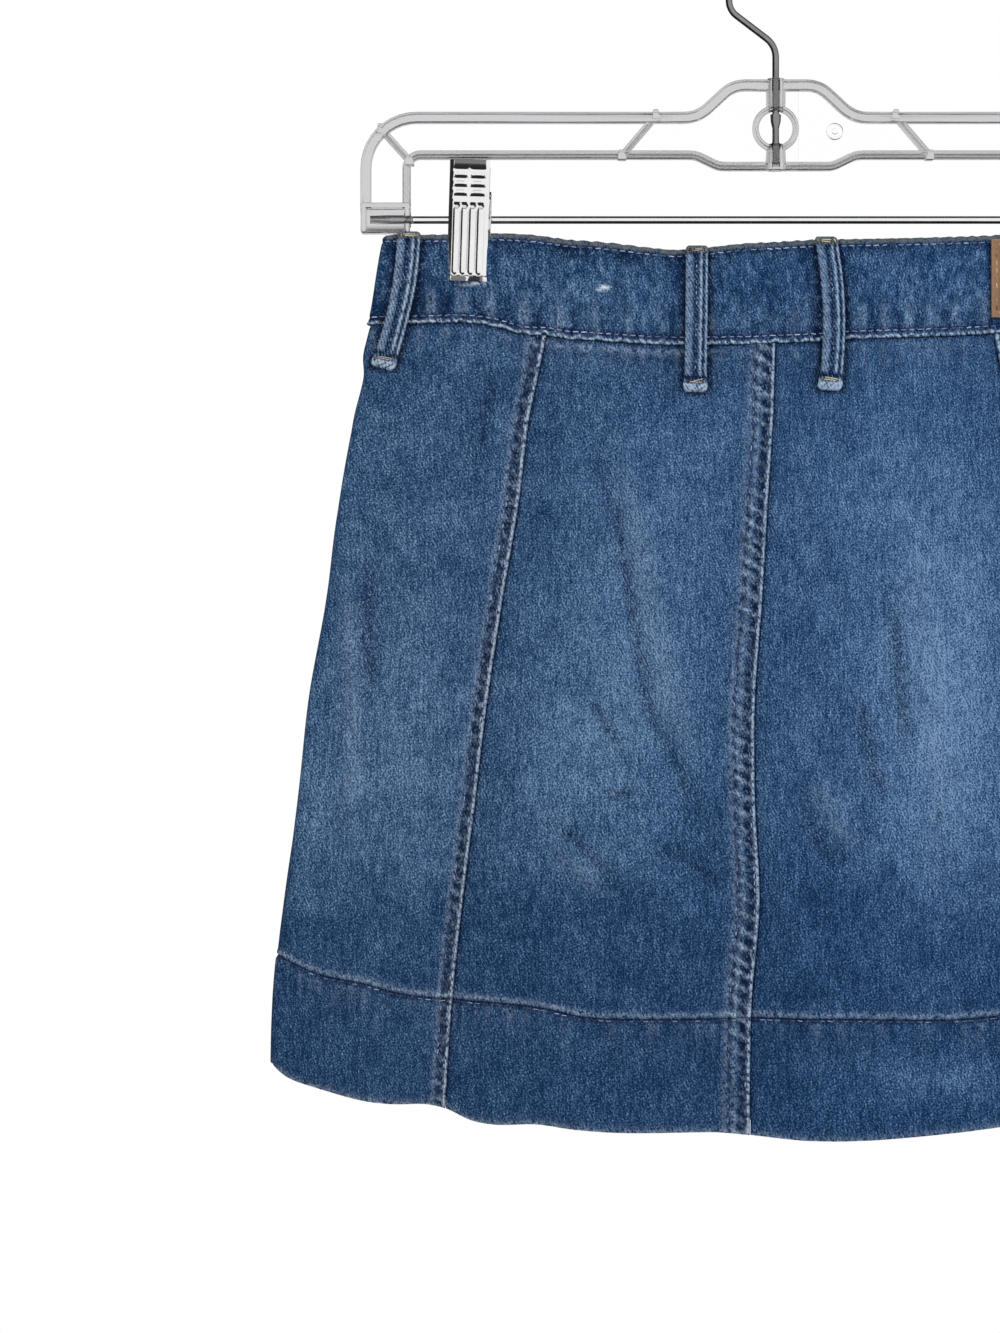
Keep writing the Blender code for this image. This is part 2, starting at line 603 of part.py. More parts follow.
def make_hanger_frame(plastic):
    """The clear moulded frame: rails, posts, braces, end blocks, the ring at the hook and its web."""
    top_rail = rounded_route(mirrored(TOP_RAIL))
    low_rail = rounded_route(mirrored(LOW_RAIL))
    frame = beam("hanger_frame", top_rail, TOP_RAIL_WIDTH, TOP_RAIL_DEPTH, helper=False, finish=plastic)
    joined = [
        beam("frame_low_rail", low_rail, LOW_RAIL_WIDTH, LOW_RAIL_DEPTH),
        hoop("frame_ring", RING_Z, RING_RADIUS, RING_WIDTH, RING_DEPTH),
    ]
    cutters = []
    for side, name in ((-1, "left"), (1, "right")):
        for bar in BARS:
            route = [Vector((side * bar.x, bar.z)), Vector((side * bar.end_x, bar.end_z))]
            joined.append(beam(f"frame_{bar.name}_{name}", route, bar.width, bar.depth))
        inner = (side * BLOCK_INNER, -BLOCK_DEPTH / 2, BLOCK_FOOT)
        joined.append(box(f"frame_block_{name}", inner, (side * HANGER_HALF, BLOCK_DEPTH / 2, BLOCK_TOP)))
        seat = ((ROD_RADIUS + GAP, BLOCK_INNER - 0.004), (ROD_RADIUS + GAP, ROD_HALF + GAP))
        cutters.append(turned(f"rod_seat_{name}", seat, (0, 0, -ROD_BELOW), (side, 0, 0), helper=True))
    for name, heights in BOSSES.items():
        profile = [(BOSS_RADIUS, z) for z in heights]
        joined.append(turned(f"frame_boss_{name}", profile, (0, 0, 0), (0, 0, 1), helper=True))
    mark = ((MARK_RADIUS, -MARK_HALF_DEPTH), (MARK_RADIUS, MARK_HALF_DEPTH))
    joined.append(turned("frame_mark", mark, MARK_PLACE, (0, 1, 0), helper=True))
    shaft = ((WIRE_RADIUS + GAP, SHAFT_FOOT - GAP), (WIRE_RADIUS + GAP, -0.0500))
    cutters.append(turned("shaft_seat", shaft, (0, 0, 0), (0, 0, 1), helper=True))
    combine(frame, joined, "UNION")
    combine(frame, cutters, "DIFFERENCE")


def wire(name, points, radii, thickness, finish):
    """A round wire along points in the XZ plane, as a curve with filled caps."""
    curve = bpy.data.curves.new(name, "CURVE")
    curve.dimensions = "3D"
    curve.bevel_depth = thickness
    curve.bevel_resolution = 3
    curve.use_fill_caps = True
    line = curve.splines.new("POLY")
    line.points.add(len(points) - 1)
    for point, place, radius in zip(line.points, points, radii):
        point.co = (place.x, 0, place.y, 1)
        point.radius = radius
    curve.materials.append(finish)
    made = bpy.data.objects.new(name, curve)
    bpy.context.scene.collection.objects.link(made)
    return made


def make_hook(steel):
    """The wire hook: a shaft through the frame with a flattened stop, a crank and the round hook."""
    shaft = [Vector((0, swell.z)) for swell in HOOK_STOP]
    crank = rounded_route(HOOK_CRANK)
    bow = []
    for k in range(HOOK_STEPS + 1):
        angle = mix(math.pi, math.radians(HOOK_TIP_ANGLE), k / HOOK_STEPS)
        arm = Vector((math.cos(angle), math.sin(angle))) * HOOK_RADIUS
        bow.append(Vector((0, WIRE_RADIUS - HOOK_RADIUS)) + arm)
    sizes = [swell.size for swell in HOOK_STOP] + [1.0] * (len(crank) + len(bow))
    return wire("hanger_hook", shaft + crank + bow, sizes, WIRE_RADIUS, steel)


def make_rod(steel):
    """The steel rod that the clips slide on."""
    profile = ((ROD_RADIUS, -ROD_HALF), (ROD_RADIUS, ROD_HALF))
    return turned("hanger_rod", profile, (0, 0, -ROD_BELOW), (1, 0, 0), steel)


def tilt(pieces, clip_x):
    """Puts a clip's pieces on the rod, turned a little, as the cloth pulls them."""
    for piece in pieces:
        piece.location = (clip_x, 0, -ROD_BELOW)
        piece.rotation_euler = (0, CLIP_TILT, 0)


def clip_bore(name):
    profile = ((CLIP_BORE, -THROUGH), (CLIP_BORE, THROUGH))
    return turned(f"{name}_bore", profile, (0, 0, 0), (1, 0, 0), helper=True)


def make_clip_plate(name, face, clip_x, steel):
    """One steel plate of a clip with two ears round the rod, on the back or front of the skirt."""
    facing = -1 if face == "back" else 1
    inner = [Vector((0, facing * out, z)) for z, out in PLATE_LINE]
    outer = [Vector((0, facing * (out + PLATE), z)) for z, out in reversed(PLATE_LINE)]
    outline = inner + outer
    count = len(outline)
    points = [point + Vector((x, 0, 0)) for x in (-CLIP_HALF, CLIP_HALF) for point in outline]
    faces = [[k, (k + 1) % count, (k + 1) % count + count, k + count] for k in range(count)]
    for k in range(len(PLATE_LINE) - 1):
        quad = [k, k + 1, count - 2 - k, count - 1 - k]
        faces += [quad, [n + count for n in quad]]
    plate = add_object(name, mesh_of(name, points, faces), steel)
    ear_x = CLIP_HALF + EARS_OUT[face]
    joined = []
    for side, hand in ((-1, "left"), (1, "right")):
        inside = (side * (ear_x - PLATE), facing * EAR_BEHIND, EAR_FOOT)
        joined.append(box(f"{name}_ear_{hand}", inside, (side * ear_x, facing * EAR_REACH, EAR_TOP)))
        if EARS_OUT[face] > 0:
            (x, y, z), (far_y, far_z) = WING
            outside = (side * ear_x, facing * far_y, far_z)
            joined.append(box(f"{name}_wing_{hand}", (side * x, facing * y, z), outside))
    cutter = clip_bore(name)
    combine(plate, joined, "UNION")
    combine(plate, [cutter], "DIFFERENCE")
    tilt([plate, *joined, cutter], clip_x)


def make_clip(side, clip_x, steel):
    """A spring clip: the plate that shows on the back, the one on the front and the coil on the rod."""
    for face in ("back", "front"):
        make_clip_plate(f"clip_{side}_{face}_plate", face, clip_x, steel)
    name = f"clip_{side}_spring"
    profile = ((SPRING_RADIUS, -SPRING_HALF), (SPRING_RADIUS, SPRING_HALF))
    coil = turned(name, profile, (0, 0, 0), (1, 0, 0), steel)
    cutter = clip_bore(name)
    combine(coil, [cutter], "DIFFERENCE")
    tilt([coil, cutter], clip_x)


def main():
    for old in list(bpy.data.objects):
        bpy.data.objects.remove(old)
    denim = material("denim", (0.085, 0.165, 0.300), 0.92)
    loop_denim = material("loop_denim", (0.150, 0.215, 0.330), 0.92)
    leather = material("leather", (0.420, 0.230, 0.110), 0.60)
    button_metal = material("button_metal", (0.42, 0.30, 0.20), 0.38, 1.0)
    plastic = material("clear_plastic", (0.90, 0.91, 0.92), 0.08)
    steel = material("bright_steel", (0.62, 0.62, 0.63), 0.20, 1.0)
    make_panels(denim)
    make_waistband(denim)
    for loop in LOOPS:
        make_belt_loop(loop, loop_denim)
    make_patch(leather)
    make_button(button_metal)
    make_hanger_frame(plastic)
    make_hook(steel)
    make_rod(steel)
    for side, clip_x in zip(("left", "right"), CLIP_X):
        make_clip(side, clip_x, steel)


main()
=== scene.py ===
"""A washed denim mini skirt held by its waistband on a clear clip hanger.

Metres, +Z up. The origin is where a rail bears inside the hook, the back of the garment faces -Y
and +X is the wearer's right. A place on the cloth is its station round the tube and its depth below
the origin. Stations run -1 to 1 across the back, from the wearer's left fold to the right one, then
1 to 3 back across the front.
"""

import math
from collections import namedtuple

import bmesh
import bpy
import numpy as np
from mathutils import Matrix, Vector


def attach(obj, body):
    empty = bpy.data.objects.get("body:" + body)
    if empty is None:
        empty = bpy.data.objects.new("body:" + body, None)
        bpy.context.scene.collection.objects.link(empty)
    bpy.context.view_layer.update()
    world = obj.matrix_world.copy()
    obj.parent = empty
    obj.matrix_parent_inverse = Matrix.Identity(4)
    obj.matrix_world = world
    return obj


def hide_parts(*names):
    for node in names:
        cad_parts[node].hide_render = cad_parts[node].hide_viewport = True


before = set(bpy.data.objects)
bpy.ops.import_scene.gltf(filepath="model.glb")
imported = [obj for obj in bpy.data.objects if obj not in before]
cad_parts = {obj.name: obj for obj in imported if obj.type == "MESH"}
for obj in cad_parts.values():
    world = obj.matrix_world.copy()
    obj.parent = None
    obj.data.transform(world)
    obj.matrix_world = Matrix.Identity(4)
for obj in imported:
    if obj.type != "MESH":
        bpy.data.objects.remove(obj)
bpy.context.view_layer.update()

bl_info = {
    "name": "Denim Skirt on a Clip Hanger",
    "version": (1, 0, 0),
    "blender": (4, 5, 0),
    "location": "View3D > Sidebar > Skirt",
    "description": "Models a washed denim mini skirt and the clip hanger that holds it",
    "category": "Object",
}

MM = 0.001

# ---- form of the hanging tube of cloth
PRINCESS = 0.6  # station of the right back princess seam; the left one is at minus this
SIDE_SEAM = 1.05
CENTRE_FRONT = 2.0
FOLD_RADIUS = 0.0032
SEAM_GAP = 0.0001  # half the gap between two pieces that meet
EDGE_PROUD = 0.0004  # worn folds stand this far beyond the cut edges
BAND_PROUD, WAIST_PROUD = 0.0005, 0.0008
BAND_CLOTH, WAIST_CLOTH = 0.0022, 0.0024
WAIST_ROW = 0.0033  # from the waist seam up to the waistband's lower row of stitches
PANEL_CLOTH, WAIST_CLEAR = 0.0012, 0.0003  # the panels' wall, and what lies clear on the waistband
PINCHED = 0.0027  # from the middle plane to the waistband's face in a clip's jaws
JAW_HALF_SPAN, JAW_FREE_SPAN, JAW_FADE = 0.0125, 0.03, (0.145, 0.19)
CLIP_X = (-0.132, 0.1382)
OVER_END, UNDER_END = 1.92, 6.16  # stations of the waistband's lapped ends
STEP_IN = (5.7, 5.88)  # where the under end steps in beneath the other

# In millimetres: depth, then X of the left fold, left princess seam, centre back seam, right
# princess seam and right fold, and how far the middle of each face stands out beyond the folds.
SECTIONS = MM * np.array((
    (123.5, -168, -96.2, -2.8, 91.2, 162.4, 4.5),
    (134, -170, -97.2, -2.4, 91.7, 164.8, 4.8),
    (151, -172.7, -97.8, -1.7, 92.3, 169, 5),
    (166, -175.5, -98.5, -0.8, 93, 172.8, 5.3),
    (175, -177.4, -100.3, -1, 94.4, 174.2, 5.5),
    (184, -177.2, -102.1, -1.2, 96.1, 175.1, 5.7),
    (202.6, -181.7, -106, -1.8, 99.2, 177.6, 6.2),
    (237, -187.3, -110.2, -4.1, 103.4, 180.6, 7.2),
    (280, -193.6, -117.3, -6.7, 108.2, 183.8, 8.6),
    (323, -200.6, -123.8, -9.8, 112.6, 187.2, 10),
    (366, -205.5, -129, -9.8, 116.5, 190.2, 11.4),
    (409, -211, -134.4, -8, 120.3, 193, 12.8),
    (452, -216, -138.9, -11.5, 124, 195.1, 14),
    (512, -216.5, -142.8, -12.4, 128.5, 196.2, 15),
))
ACROSS = np.array((-1.0, -PRINCESS, 0.0, PRINCESS, 1.0))

# Depths of the back's level edges by station: waistband top, waist seam, hem seam and hem foot.
EDGE_NAMES = ("top", "waist", "band", "foot")
BACK_EDGES = np.array((
    (-1.00, 0.1235, 0.1618, 0.4320, 0.4790),
    (-0.96, 0.1234, 0.1616, 0.4358, 0.4845),
    (-0.90, 0.1233, 0.1614, 0.4403, 0.4883),
    (-0.79, 0.1230, 0.1609, 0.4445, 0.4936),
    (-0.72, 0.1227, 0.1625, 0.4480, 0.4949),
    (-0.65, 0.1238, 0.1662, 0.4498, 0.4948),
    (-0.60, 0.1250, 0.1667, 0.4503, 0.4967),
    (-0.55, 0.1261, 0.1682, 0.4512, 0.5013),
    (-0.50, 0.1266, 0.1687, 0.4517, 0.5029),
    (-0.42, 0.1278, 0.1696, 0.4535, 0.5024),
    (-0.34, 0.1294, 0.1705, 0.4572, 0.5048),
    (-0.25, 0.1305, 0.1710, 0.4583, 0.5061),
    (-0.07, 0.1278, 0.1707, 0.4580, 0.5058),
    (0.00, 0.1273, 0.1702, 0.4575, 0.5069),
    (0.10, 0.1264, 0.1696, 0.4580, 0.5091),
    (0.20, 0.1260, 0.1685, 0.4580, 0.5090),
    (0.40, 0.1253, 0.1675, 0.4583, 0.5056),
    (0.60, 0.1242, 0.1659, 0.4532, 0.4996),
    (0.72, 0.1230, 0.1633, 0.4486, 0.4966),
    (0.85, 0.1231, 0.1622, 0.4423, 0.4910),
    (0.93, 0.1233, 0.1619, 0.4380, 0.4865),
    (1.00, 0.1235, 0.1620, 0.4325, 0.4795),
))
FRONT_DROP = {"top": 0.0060, "waist": 0.0090, "band": 0.0250, "foot": 0.0260}

# Soft standing folds: station, width, how far out, and the depths where they start and are full.
FOLDS = (
    (-0.82, 0.10, 0.0016, 0.24, 0.44),
    (-0.60, 0.06, -0.0024, 0.30, 0.48),
    (-0.42, 0.10, 0.0026, 0.26, 0.47),
    (-0.04, 0.08, -0.0018, 0.22, 0.42),
    (0.24, 0.13, 0.0026, 0.24, 0.45),
    (0.62, 0.08, -0.0020, 0.28, 0.46),
    (0.83, 0.09, 0.0016, 0.25, 0.44),
    (1.35, 0.13, 0.0022, 0.26, 0.46),
    (1.72, 0.12, -0.0016, 0.22, 0.45),
    (2.30, 0.14, 0.0024, 0.24, 0.45),
    (2.70, 0.10, -0.0014, 0.28, 0.46),
)

# ---- seams and wear, placed one by one
# Lapped seams: station, which side's cloth lies on top, and its two stitch rows from the edge.
Lap = namedtuple("Lap", "station side rows rope seed")
LAPS = (
    Lap(-PRINCESS, -1, (0.0019, 0.005), 0.55, 11),
    Lap(0.0, -1, (0.0021, 0.0089), 1.0, 12),
    Lap(PRINCESS, 1, (0.0019, 0.005), 0.55, 13),
    Lap(CENTRE_FRONT, 1, (0.002, 0.0078), 0.8, 14),
)

# Creases of each face, in millimetres: how deep (minus) or high, half width, and then the places,
# X and depth, that they follow.
CREASES = {
    "back": (
        (-1.1, 3.2, (-80, 204), (-76.5, 224), (-69, 244), (-65.5, 263), (-61.2, 290), (-54.5, 327),
         (-43.5, 349), (-36.5, 363), (-29.5, 378), (-24, 398)),
        (0.9, 5, (-70, 214), (-60, 254), (-54, 290), (-45, 325), (-33, 351)),
        (-0.9, 3, (-54.5, 384), (-40.7, 389), (-29.5, 398), (-22.5, 405)),
        (-0.8, 3.4, (-103, 372), (-87.1, 381), (-73.5, 396), (-64, 409)),
        (-0.6, 3, (-76, 363), (-58.5, 362)),
        (-0.8, 2.8, (-84, 312), (-78.9, 324), (-73.5, 333), (-68.6, 341), (-65, 353)),
        (0.7, 4.5, (-99, 386), (-85, 394), (-74, 407)),
        (-1, 3.6, (34, 318), (37.5, 339), (41, 356), (47, 366)),
        (-0.7, 3.2, (8.3, 360), (15, 378), (20, 388), (26.5, 393)),
        (0.7, 4.5, (15, 352), (24, 374), (34, 388)),
        (0.6, 1.2, (4.2, 171), (7.5, 174.5), (10.8, 179)),
        (0.6, 1.2, (81.2, 142), (86, 149), (90.5, 156)),
        (0.4, 0.8, (-135, 145.6), (-130, 144), (-123.5, 144.6)),
        (-0.8, 5, (-173.5, 250), (-175, 290), (-174, 330)),
        (0.8, 4, (-185, 262), (-183.5, 300), (-181, 350), (-184, 390)),
        (-0.7, 4, (-118, 176), (-125, 200), (-129, 226)),
        (0.7, 5, (56, 250), (64, 300), (69, 360), (65, 405)),
        (-0.8, 4.5, (48, 270), (52, 315), (56, 350)),
        (-0.9, 3.6, (142, 210), (150, 260), (149, 310)),
        (0.8, 4.6, (156, 250), (162, 300), (160, 360)),
        (-0.8, 4, (129, 350), (140, 372), (148, 400)),
    ),
    "front": (
        (-1.1, 4, (-148, 200), (-133, 240), (-125, 290), (-127, 330)),
        (0.9, 5.2, (-130, 215), (-115, 270), (-111, 330)),
        (-1, 3.6, (-40, 290), (-56, 330), (-65, 370), (-64, 410)),
        (-0.8, 3.4, (-12, 392), (-30, 400), (-43, 415)),
        (0.9, 5, (42, 215), (50, 260), (62, 310), (64, 360)),
        (-1.1, 3.6, (52, 200), (62, 245), (74, 290), (77, 345)),
        (-0.8, 3.4, (25, 372), (42, 385), (54, 402)),
        (-0.9, 4.2, (135, 220), (130, 260), (134, 310)),
    ),
}

# Washed-out (plus) and unfaded (minus) places of each face: X, depth, half width and half height in
# millimetres, and the amount.
FADES = {
    "back": (
        (-160, 340, 24, 70, 0.6), (-181, 330, 5, 80, 0.25), (-148, 225, 20, 30, 0.16),
        (-56, 262, 30, 50, 0.5), (-198, 375, 10, 45, 0.55), (-70, 335, 33, 50, 0.82),
        (-96, 368, 16, 30, 0.3), (-30, 215, 20, 30, 0.22), (70, 320, 34, 92, 1.24),
        (42, 225, 30, 32, 0.3), (11, 300, 15, 100, 0.1), (156, 330, 22, 80, 0.6),
        (-35, 175, 33, 10, -0.25), (12, 182, 12, 16, -0.35), (-160, 178, 18, 14, -0.2),
        (-30, 375, 14, 22, -0.24), (20, 400, 20, 16, -0.3), (-120, 410, 15, 12, -0.2),
        (70, 484, 30, 11, 0.6), (45, 484, 42, 14, 0.25), (-145, 462, 10, 15, 0.35),
        (-170, 470, 20, 16, 0.14), (-90, 486, 20, 10, 0.16), (5, 470, 8, 18, -0.4),
        (-30, 470, 9, 14, -0.25), (-85, 147, 35, 9, 0.3), (-5, 147, 14, 12, -0.25),
        (60, 148, 25, 12, 0.26), (-146.5, 150, 9, 14, -0.75),
    ),
    "front": (
        (-150, 330, 25, 80, 0.55), (-85, 300, 36, 75, 0.85), (75, 300, 36, 78, 0.88),
        (145, 325, 24, 80, 0.5), (10, 230, 22, 45, -0.16), (-60, 485, 35, 11, 0.4),
        (80, 482, 30, 11, 0.36), (90, 148, 30, 10, 0.26), (-70, 150, 32, 10, 0.24),
    ),
}

# Belt loops: X at the top, middle and foot, the depth of the foot, and the colour of the bar tacks.
Loop = namedtuple("Loop", "name face top_x middle_x foot_x foot_below tack")
LOOPS = (
    Loop("back_left", "back", -0.0344, -0.0347, -0.0352, 0.1912, "orange"),
    Loop("back_right", "back", 0.0204, 0.0238, 0.022, 0.1905, "gold"),
    Loop("side_left", "back", -0.1577, -0.1608, -0.169, 0.1806, "orange"),
    Loop("side_right", "back", 0.1526, 0.156, 0.1648, 0.1811, "gold"),
    Loop("front_left", "front", -0.083, -0.0835, -0.084, 0.19, "orange"),
    Loop("front_right", "front", 0.079, 0.08, 0.081, 0.19, "gold"),
)
LOOP_WIDTH, LOOP_LENGTH, LOOP_CLOTH = 0.0095, 0.066, 0.0018
LOOP_TOP, LOOP_CAP = 0.1235, 0.0014  # depth of the top edge there, and how far a loop rises past it
# How far a loop stands off the panels, by share of its length.
LOOP_STANDS = np.array((
    (0.0, 0.0011), (0.12, 0.0016), (0.45, 0.0027), (0.66, 0.0022), (0.88, 0.0012), (1.0, 0.0003),
))

PATCH_X, PATCH_DEPTH = (0.0914, 0.1284), (0.1256, 0.1592)
PATCH_SIZE = (0.037, 0.0336)
PATCH_LEATHER, PATCH_CLEAR = 0.0013, 0.0005

# ---- sizes of the waist button and the hanger
BUTTONHOLE = (1.988, 2.08)  # stations of the slot's ends
BUTTONHOLE_REACH = 0.18  # metres that one station counts for past the slot's ends
WIRE_RADIUS = 0.00145
HOOK_RADIUS = 0.0186 + WIRE_RADIUS  # of the wire's centreline
HOOK_TIP_ANGLE = -6.0  # degrees from +X, where the open end stops
SHAFT_FOOT = -0.0928
ROD_RADIUS, ROD_BELOW, ROD_HALF = 0.00165, 0.1164, 0.1742
HANGER_HALF, BLOCK_INNER = 0.1783, 0.1571
BLOCK_TOP, BLOCK_FOOT = -0.1093, -0.1222
Corner = namedtuple("Corner", "x z bend")  # bend is the radius of the arc round the corner
POST_X, INNER_POST_X, POST_FOOT = -HANGER_HALF + 0.0022, -0.1586, BLOCK_TOP - 0.004
TOP_RAIL = (
    Corner(POST_X, POST_FOOT, 0), Corner(POST_X, -0.0725, 0.0218),
    Corner(-0.0335, -0.0725, 0.015), Corner(-0.0185, -0.0586, 0.013),
)
LOW_RAIL = (
    Corner(INNER_POST_X, POST_FOOT, 0), Corner(INNER_POST_X, -0.0885, 0.006),
    Corner(-0.0345, -0.0885, 0.012), Corner(-0.0245, -0.0934, 0.01),
)
# Braces of the right half: X and Z of both ends, width and depth.
BRACES = (
    (0.1695, -0.0776, 0.1572, -0.0912, 0.003, 0.0048),
    (0.0512, -0.0715, 0.066, -0.0888, 0.003, 0.0048),
)
RING_Z, RING_RADIUS = -0.0771, 0.0087
CLIP_TILT, CLIP_HALF = math.radians(1.9), 0.0081
# A clip plate's line seen from the side: height above the rod, and out from the middle plane.
PLATE_LINE = ((-0.0266, 0.0028), (-0.0102, 0.0028), (0.0006, 0.005), (0.0249, 0.0088))
ORIGIN, ALONG_X, INTO_FRONT, UP = (0, 0, 0), (1, 0, 0), (0, 1, 0), (0, 0, 1)
UPRIGHT = (math.radians(90), 0, 0)  # turns a flat primitive to stand facing -Y


def rise(start, end, value):
    """Rises smoothly from 0 to 1 as the value goes from start to end."""
    share = np.clip((value - start) / (end - start), 0.0, 1.0)
    return share * share * (3 - 2 * share)


def plateau(start, full, leave, end, value):
    """Rises smoothly from 0 to 1 between the first two values, and falls back between the last two."""
    return rise(start, full, value) * (1 - rise(leave, end, value))


def mix(a, b, share):
    return a + (b - a) * share


def held(value):
    return np.clip(value, 0, 1)


def swell(value, middle, width):
    """A soft bump, 1 in the middle and nearly gone two widths away."""
    return np.exp(-(((value - middle) / width) ** 2))


def curve(keys, heights, value):
    """A smooth curve through a table's column, read at many values at once."""
    value = np.clip(value, keys[0], keys[-1])
    i = np.clip(np.searchsorted(keys, value, side="right") - 1, 0, len(keys) - 2)
    slopes = np.empty(len(keys))
    slopes[1:-1] = (heights[2:] - heights[:-2]) / (keys[2:] - keys[:-2])
    slopes[0] = (heights[1] - heights[0]) / (keys[1] - keys[0])
    slopes[-1] = (heights[-1] - heights[-2]) / (keys[-1] - keys[-2])
    width = keys[i + 1] - keys[i]
    t = (value - keys[i]) / width
    return (
        heights[i] * (1 + 2 * t) * (1 - t) ** 2
        + heights[i + 1] * t * t * (3 - 2 * t)
        + slopes[i] * width * t * (1 - t) ** 2
        - slopes[i + 1] * width * t * t * (1 - t)
    )


def wrapped(station):
    """The same places as stations from -1 to 3."""
    return (np.asarray(station, float) + 1) % 4 - 1


def facing(station, face):
    """Where stations lie on the back or the front."""
    return (wrapped(station) <= 1) == (face == "back")


def edge(name, station):
    """Depth of one of the level edges at any stations."""
    station = wrapped(station)
    heights = BACK_EDGES[:, 1 + EDGE_NAMES.index(name)]
    across = 2 - station
    side = mix(heights[0], heights[-1], (across + 1) / 2)
    return np.where(
        station <= 1,
        curve(BACK_EDGES[:, 0], heights, station),
        side + FRONT_DROP[name] * (1 - across * across),
    )


def section(below):
    """X of the folds and seams at a depth, and how far the faces stand out there."""
    return [curve(SECTIONS[:, 0], SECTIONS[:, k], below) for k in range(1, 7)]


def broken_line(value, keys, heights):
    """Reads a broken line of five points, drawn on past its first and last ones."""
    total = np.zeros(np.broadcast(value, keys[0], heights[0]).shape)
    for k in range(4):
        inside = (value >= keys[k]) if k else np.ones_like(total, bool)
        share = (value - keys[k]) / (keys[k + 1] - keys[k])
        total = np.where(inside, mix(heights[k], heights[k + 1], share), total)
    return total


def ring(station, below):
    """X and Y of the panels' plain outer surface at stations and depths."""
    station = wrapped(station)
    below = np.asarray(below, float)
    back = station <= 1
    cuts = section(below)
    left, right, bulge = cuts[0], cuts[4], cuts[5]
    x = broken_line(np.where(back, station, 2 - station), ACROSS, cuts)
    share = (2 * x - left - right) / (right - left)
    from_fold = np.clip(np.minimum(x - left, right - x), 0, FOLD_RADIUS)
    depth = np.sqrt(FOLD_RADIUS**2 - (FOLD_RADIUS - from_fold) ** 2)
    depth = depth + bulge * np.maximum(0.0, 1 - share * share) ** 1.2
    for at, width, out, start, full in FOLDS:
        stand = out * swell(station, at, width) * rise(start, full, below)
        depth = depth + stand * (1 - share**6)
    for clip_x in CLIP_X:
        near_clip = 1 - rise(JAW_HALF_SPAN, JAW_FREE_SPAN, np.abs(x - clip_x))
        depth = mix(depth, PINCHED - WAIST_PROUD, near_clip * (1 - rise(*JAW_FADE, below)))
    return x, np.where(back, -depth, depth)


def surface(station, below, proud=0.0):
    """Points that stand proud of the plain surface, and the level way out from it there."""
    reach = 0.0006
    x, y = ring(station, below)
    ax, ay = ring(station - reach, below)
    bx, by = ring(station + reach, below)
    out = np.stack((by - ay, ax - bx, np.zeros_like(x)), -1)
    out /= np.linalg.norm(out, axis=-1, keepdims=True)
    places = np.stack((x, y, -np.asarray(below, float) + np.zeros_like(x)), -1)
    return places + out * np.asarray(proud)[..., None], out


# Lengths round the tube at a middle depth, so that distances from a seam can be told in metres.
MIDDLE_DEPTH = 0.33
ROUND = np.linspace(-1.3, 6.5, 15601)
STEPS_ROUND = np.hypot(*np.diff(ring(ROUND, np.full(len(ROUND), MIDDLE_DEPTH))))
LENGTHS = np.concatenate(((0.0,), np.cumsum(STEPS_ROUND)))


def length_at(station):
    """Length round the tube from the start of the table to a station."""
    return np.interp(station, ROUND, LENGTHS)


def station_at(length):
    return np.interp(length, LENGTHS, ROUND)


def stretch(below):
    """How much wider the tube is at a depth than at the middle one."""
    cuts = section(below)
    middle = section(np.array(MIDDLE_DEPTH))
    return (cuts[4] - cuts[0]) / (middle[4] - middle[0])


def station_of_x(x, below, face="back"):
    """Station where X falls on a face at this depth."""
    across = broken_line(x, section(np.asarray(below, float)), ACROSS)
    return across if face == "back" else 2 - across


def spaced(start, end, close_to, fine, coarse, reach):
    """Places from start to end that lie close together near some of them."""
    places = [start]
    while places[-1] < end:
        away = min((abs(places[-1] - p) for p in close_to), default=1.0)
        places.append(places[-1] + mix(fine, coarse, float(rise(reach, 2.2 * reach, away))))
    places = np.array(places)
    return start + (places - start) * (end - start) / (places[-1] - start)


def uneven(cycles, seed):
    """Waves of uneven length and height along a line, about -1 to 1."""
    a, b, c = np.random.default_rng(seed).uniform(0, 6.28, 3)
    turn = 2 * math.pi * cycles
    wave = np.sin(turn + 1.3 * np.sin(turn * 0.137 + a) + b)
    return wave * (0.62 + 0.38 * np.sin(turn * 0.071 + c)) + 0.3 * np.sin(turn * 1.83 + c + b)


def billows(u, v, seed, waves=9):
    """Smooth uneven swells over a sheet, about -1 to 1. One unit is about one swell."""
    draw = np.random.default_rng(seed)
    total = 0.0
    for _ in range(waves):
        turn, rate, shift = draw.uniform(0, 2 * math.pi), draw.uniform(0.5, 1.5), draw.uniform(0, 7)
        along = u * math.cos(turn) + v * math.sin(turn)
        total = total + np.sin(2 * math.pi * rate * along + shift)
    return total / math.sqrt(waves)


def line_distance(x, below, line):
    """Distance from points to a line of places, and how far along it they are, 0 to 1."""
    best, where = np.full(x.shape, 9.0), np.zeros(x.shape)
    count = len(line) - 1
    for k in range(count):
        (ax, ab), (bx, bb) = line[k], line[k + 1]
        dx, db = bx - ax, bb - ab
        share = held(((x - ax) * dx + (below - ab) * db) / (dx * dx + db * db))
        away = np.hypot(x - ax - share * dx, below - ab - share * db)
        nearer = away < best
        best = np.where(nearer, away, best)
        where = np.where(nearer, (k + share) / count, where)
    return best, where


# What a place on the cloth is like: how far out, how worn, how dark, how stained, how soiled.
# How dark a place is comes partly from dye kept in seams and grooves. The rest is painted shade in grooves,
# crease troughs, pucker dips, under rolled edges and beside the belt loops.
OUT, WEAR, DYE_AND_SHADE, RUST, SOIL = range(5)
MARK_NAMES = {"wear": WEAR, "deep": DYE_AND_SHADE, "rust": RUST, "soil": SOIL}


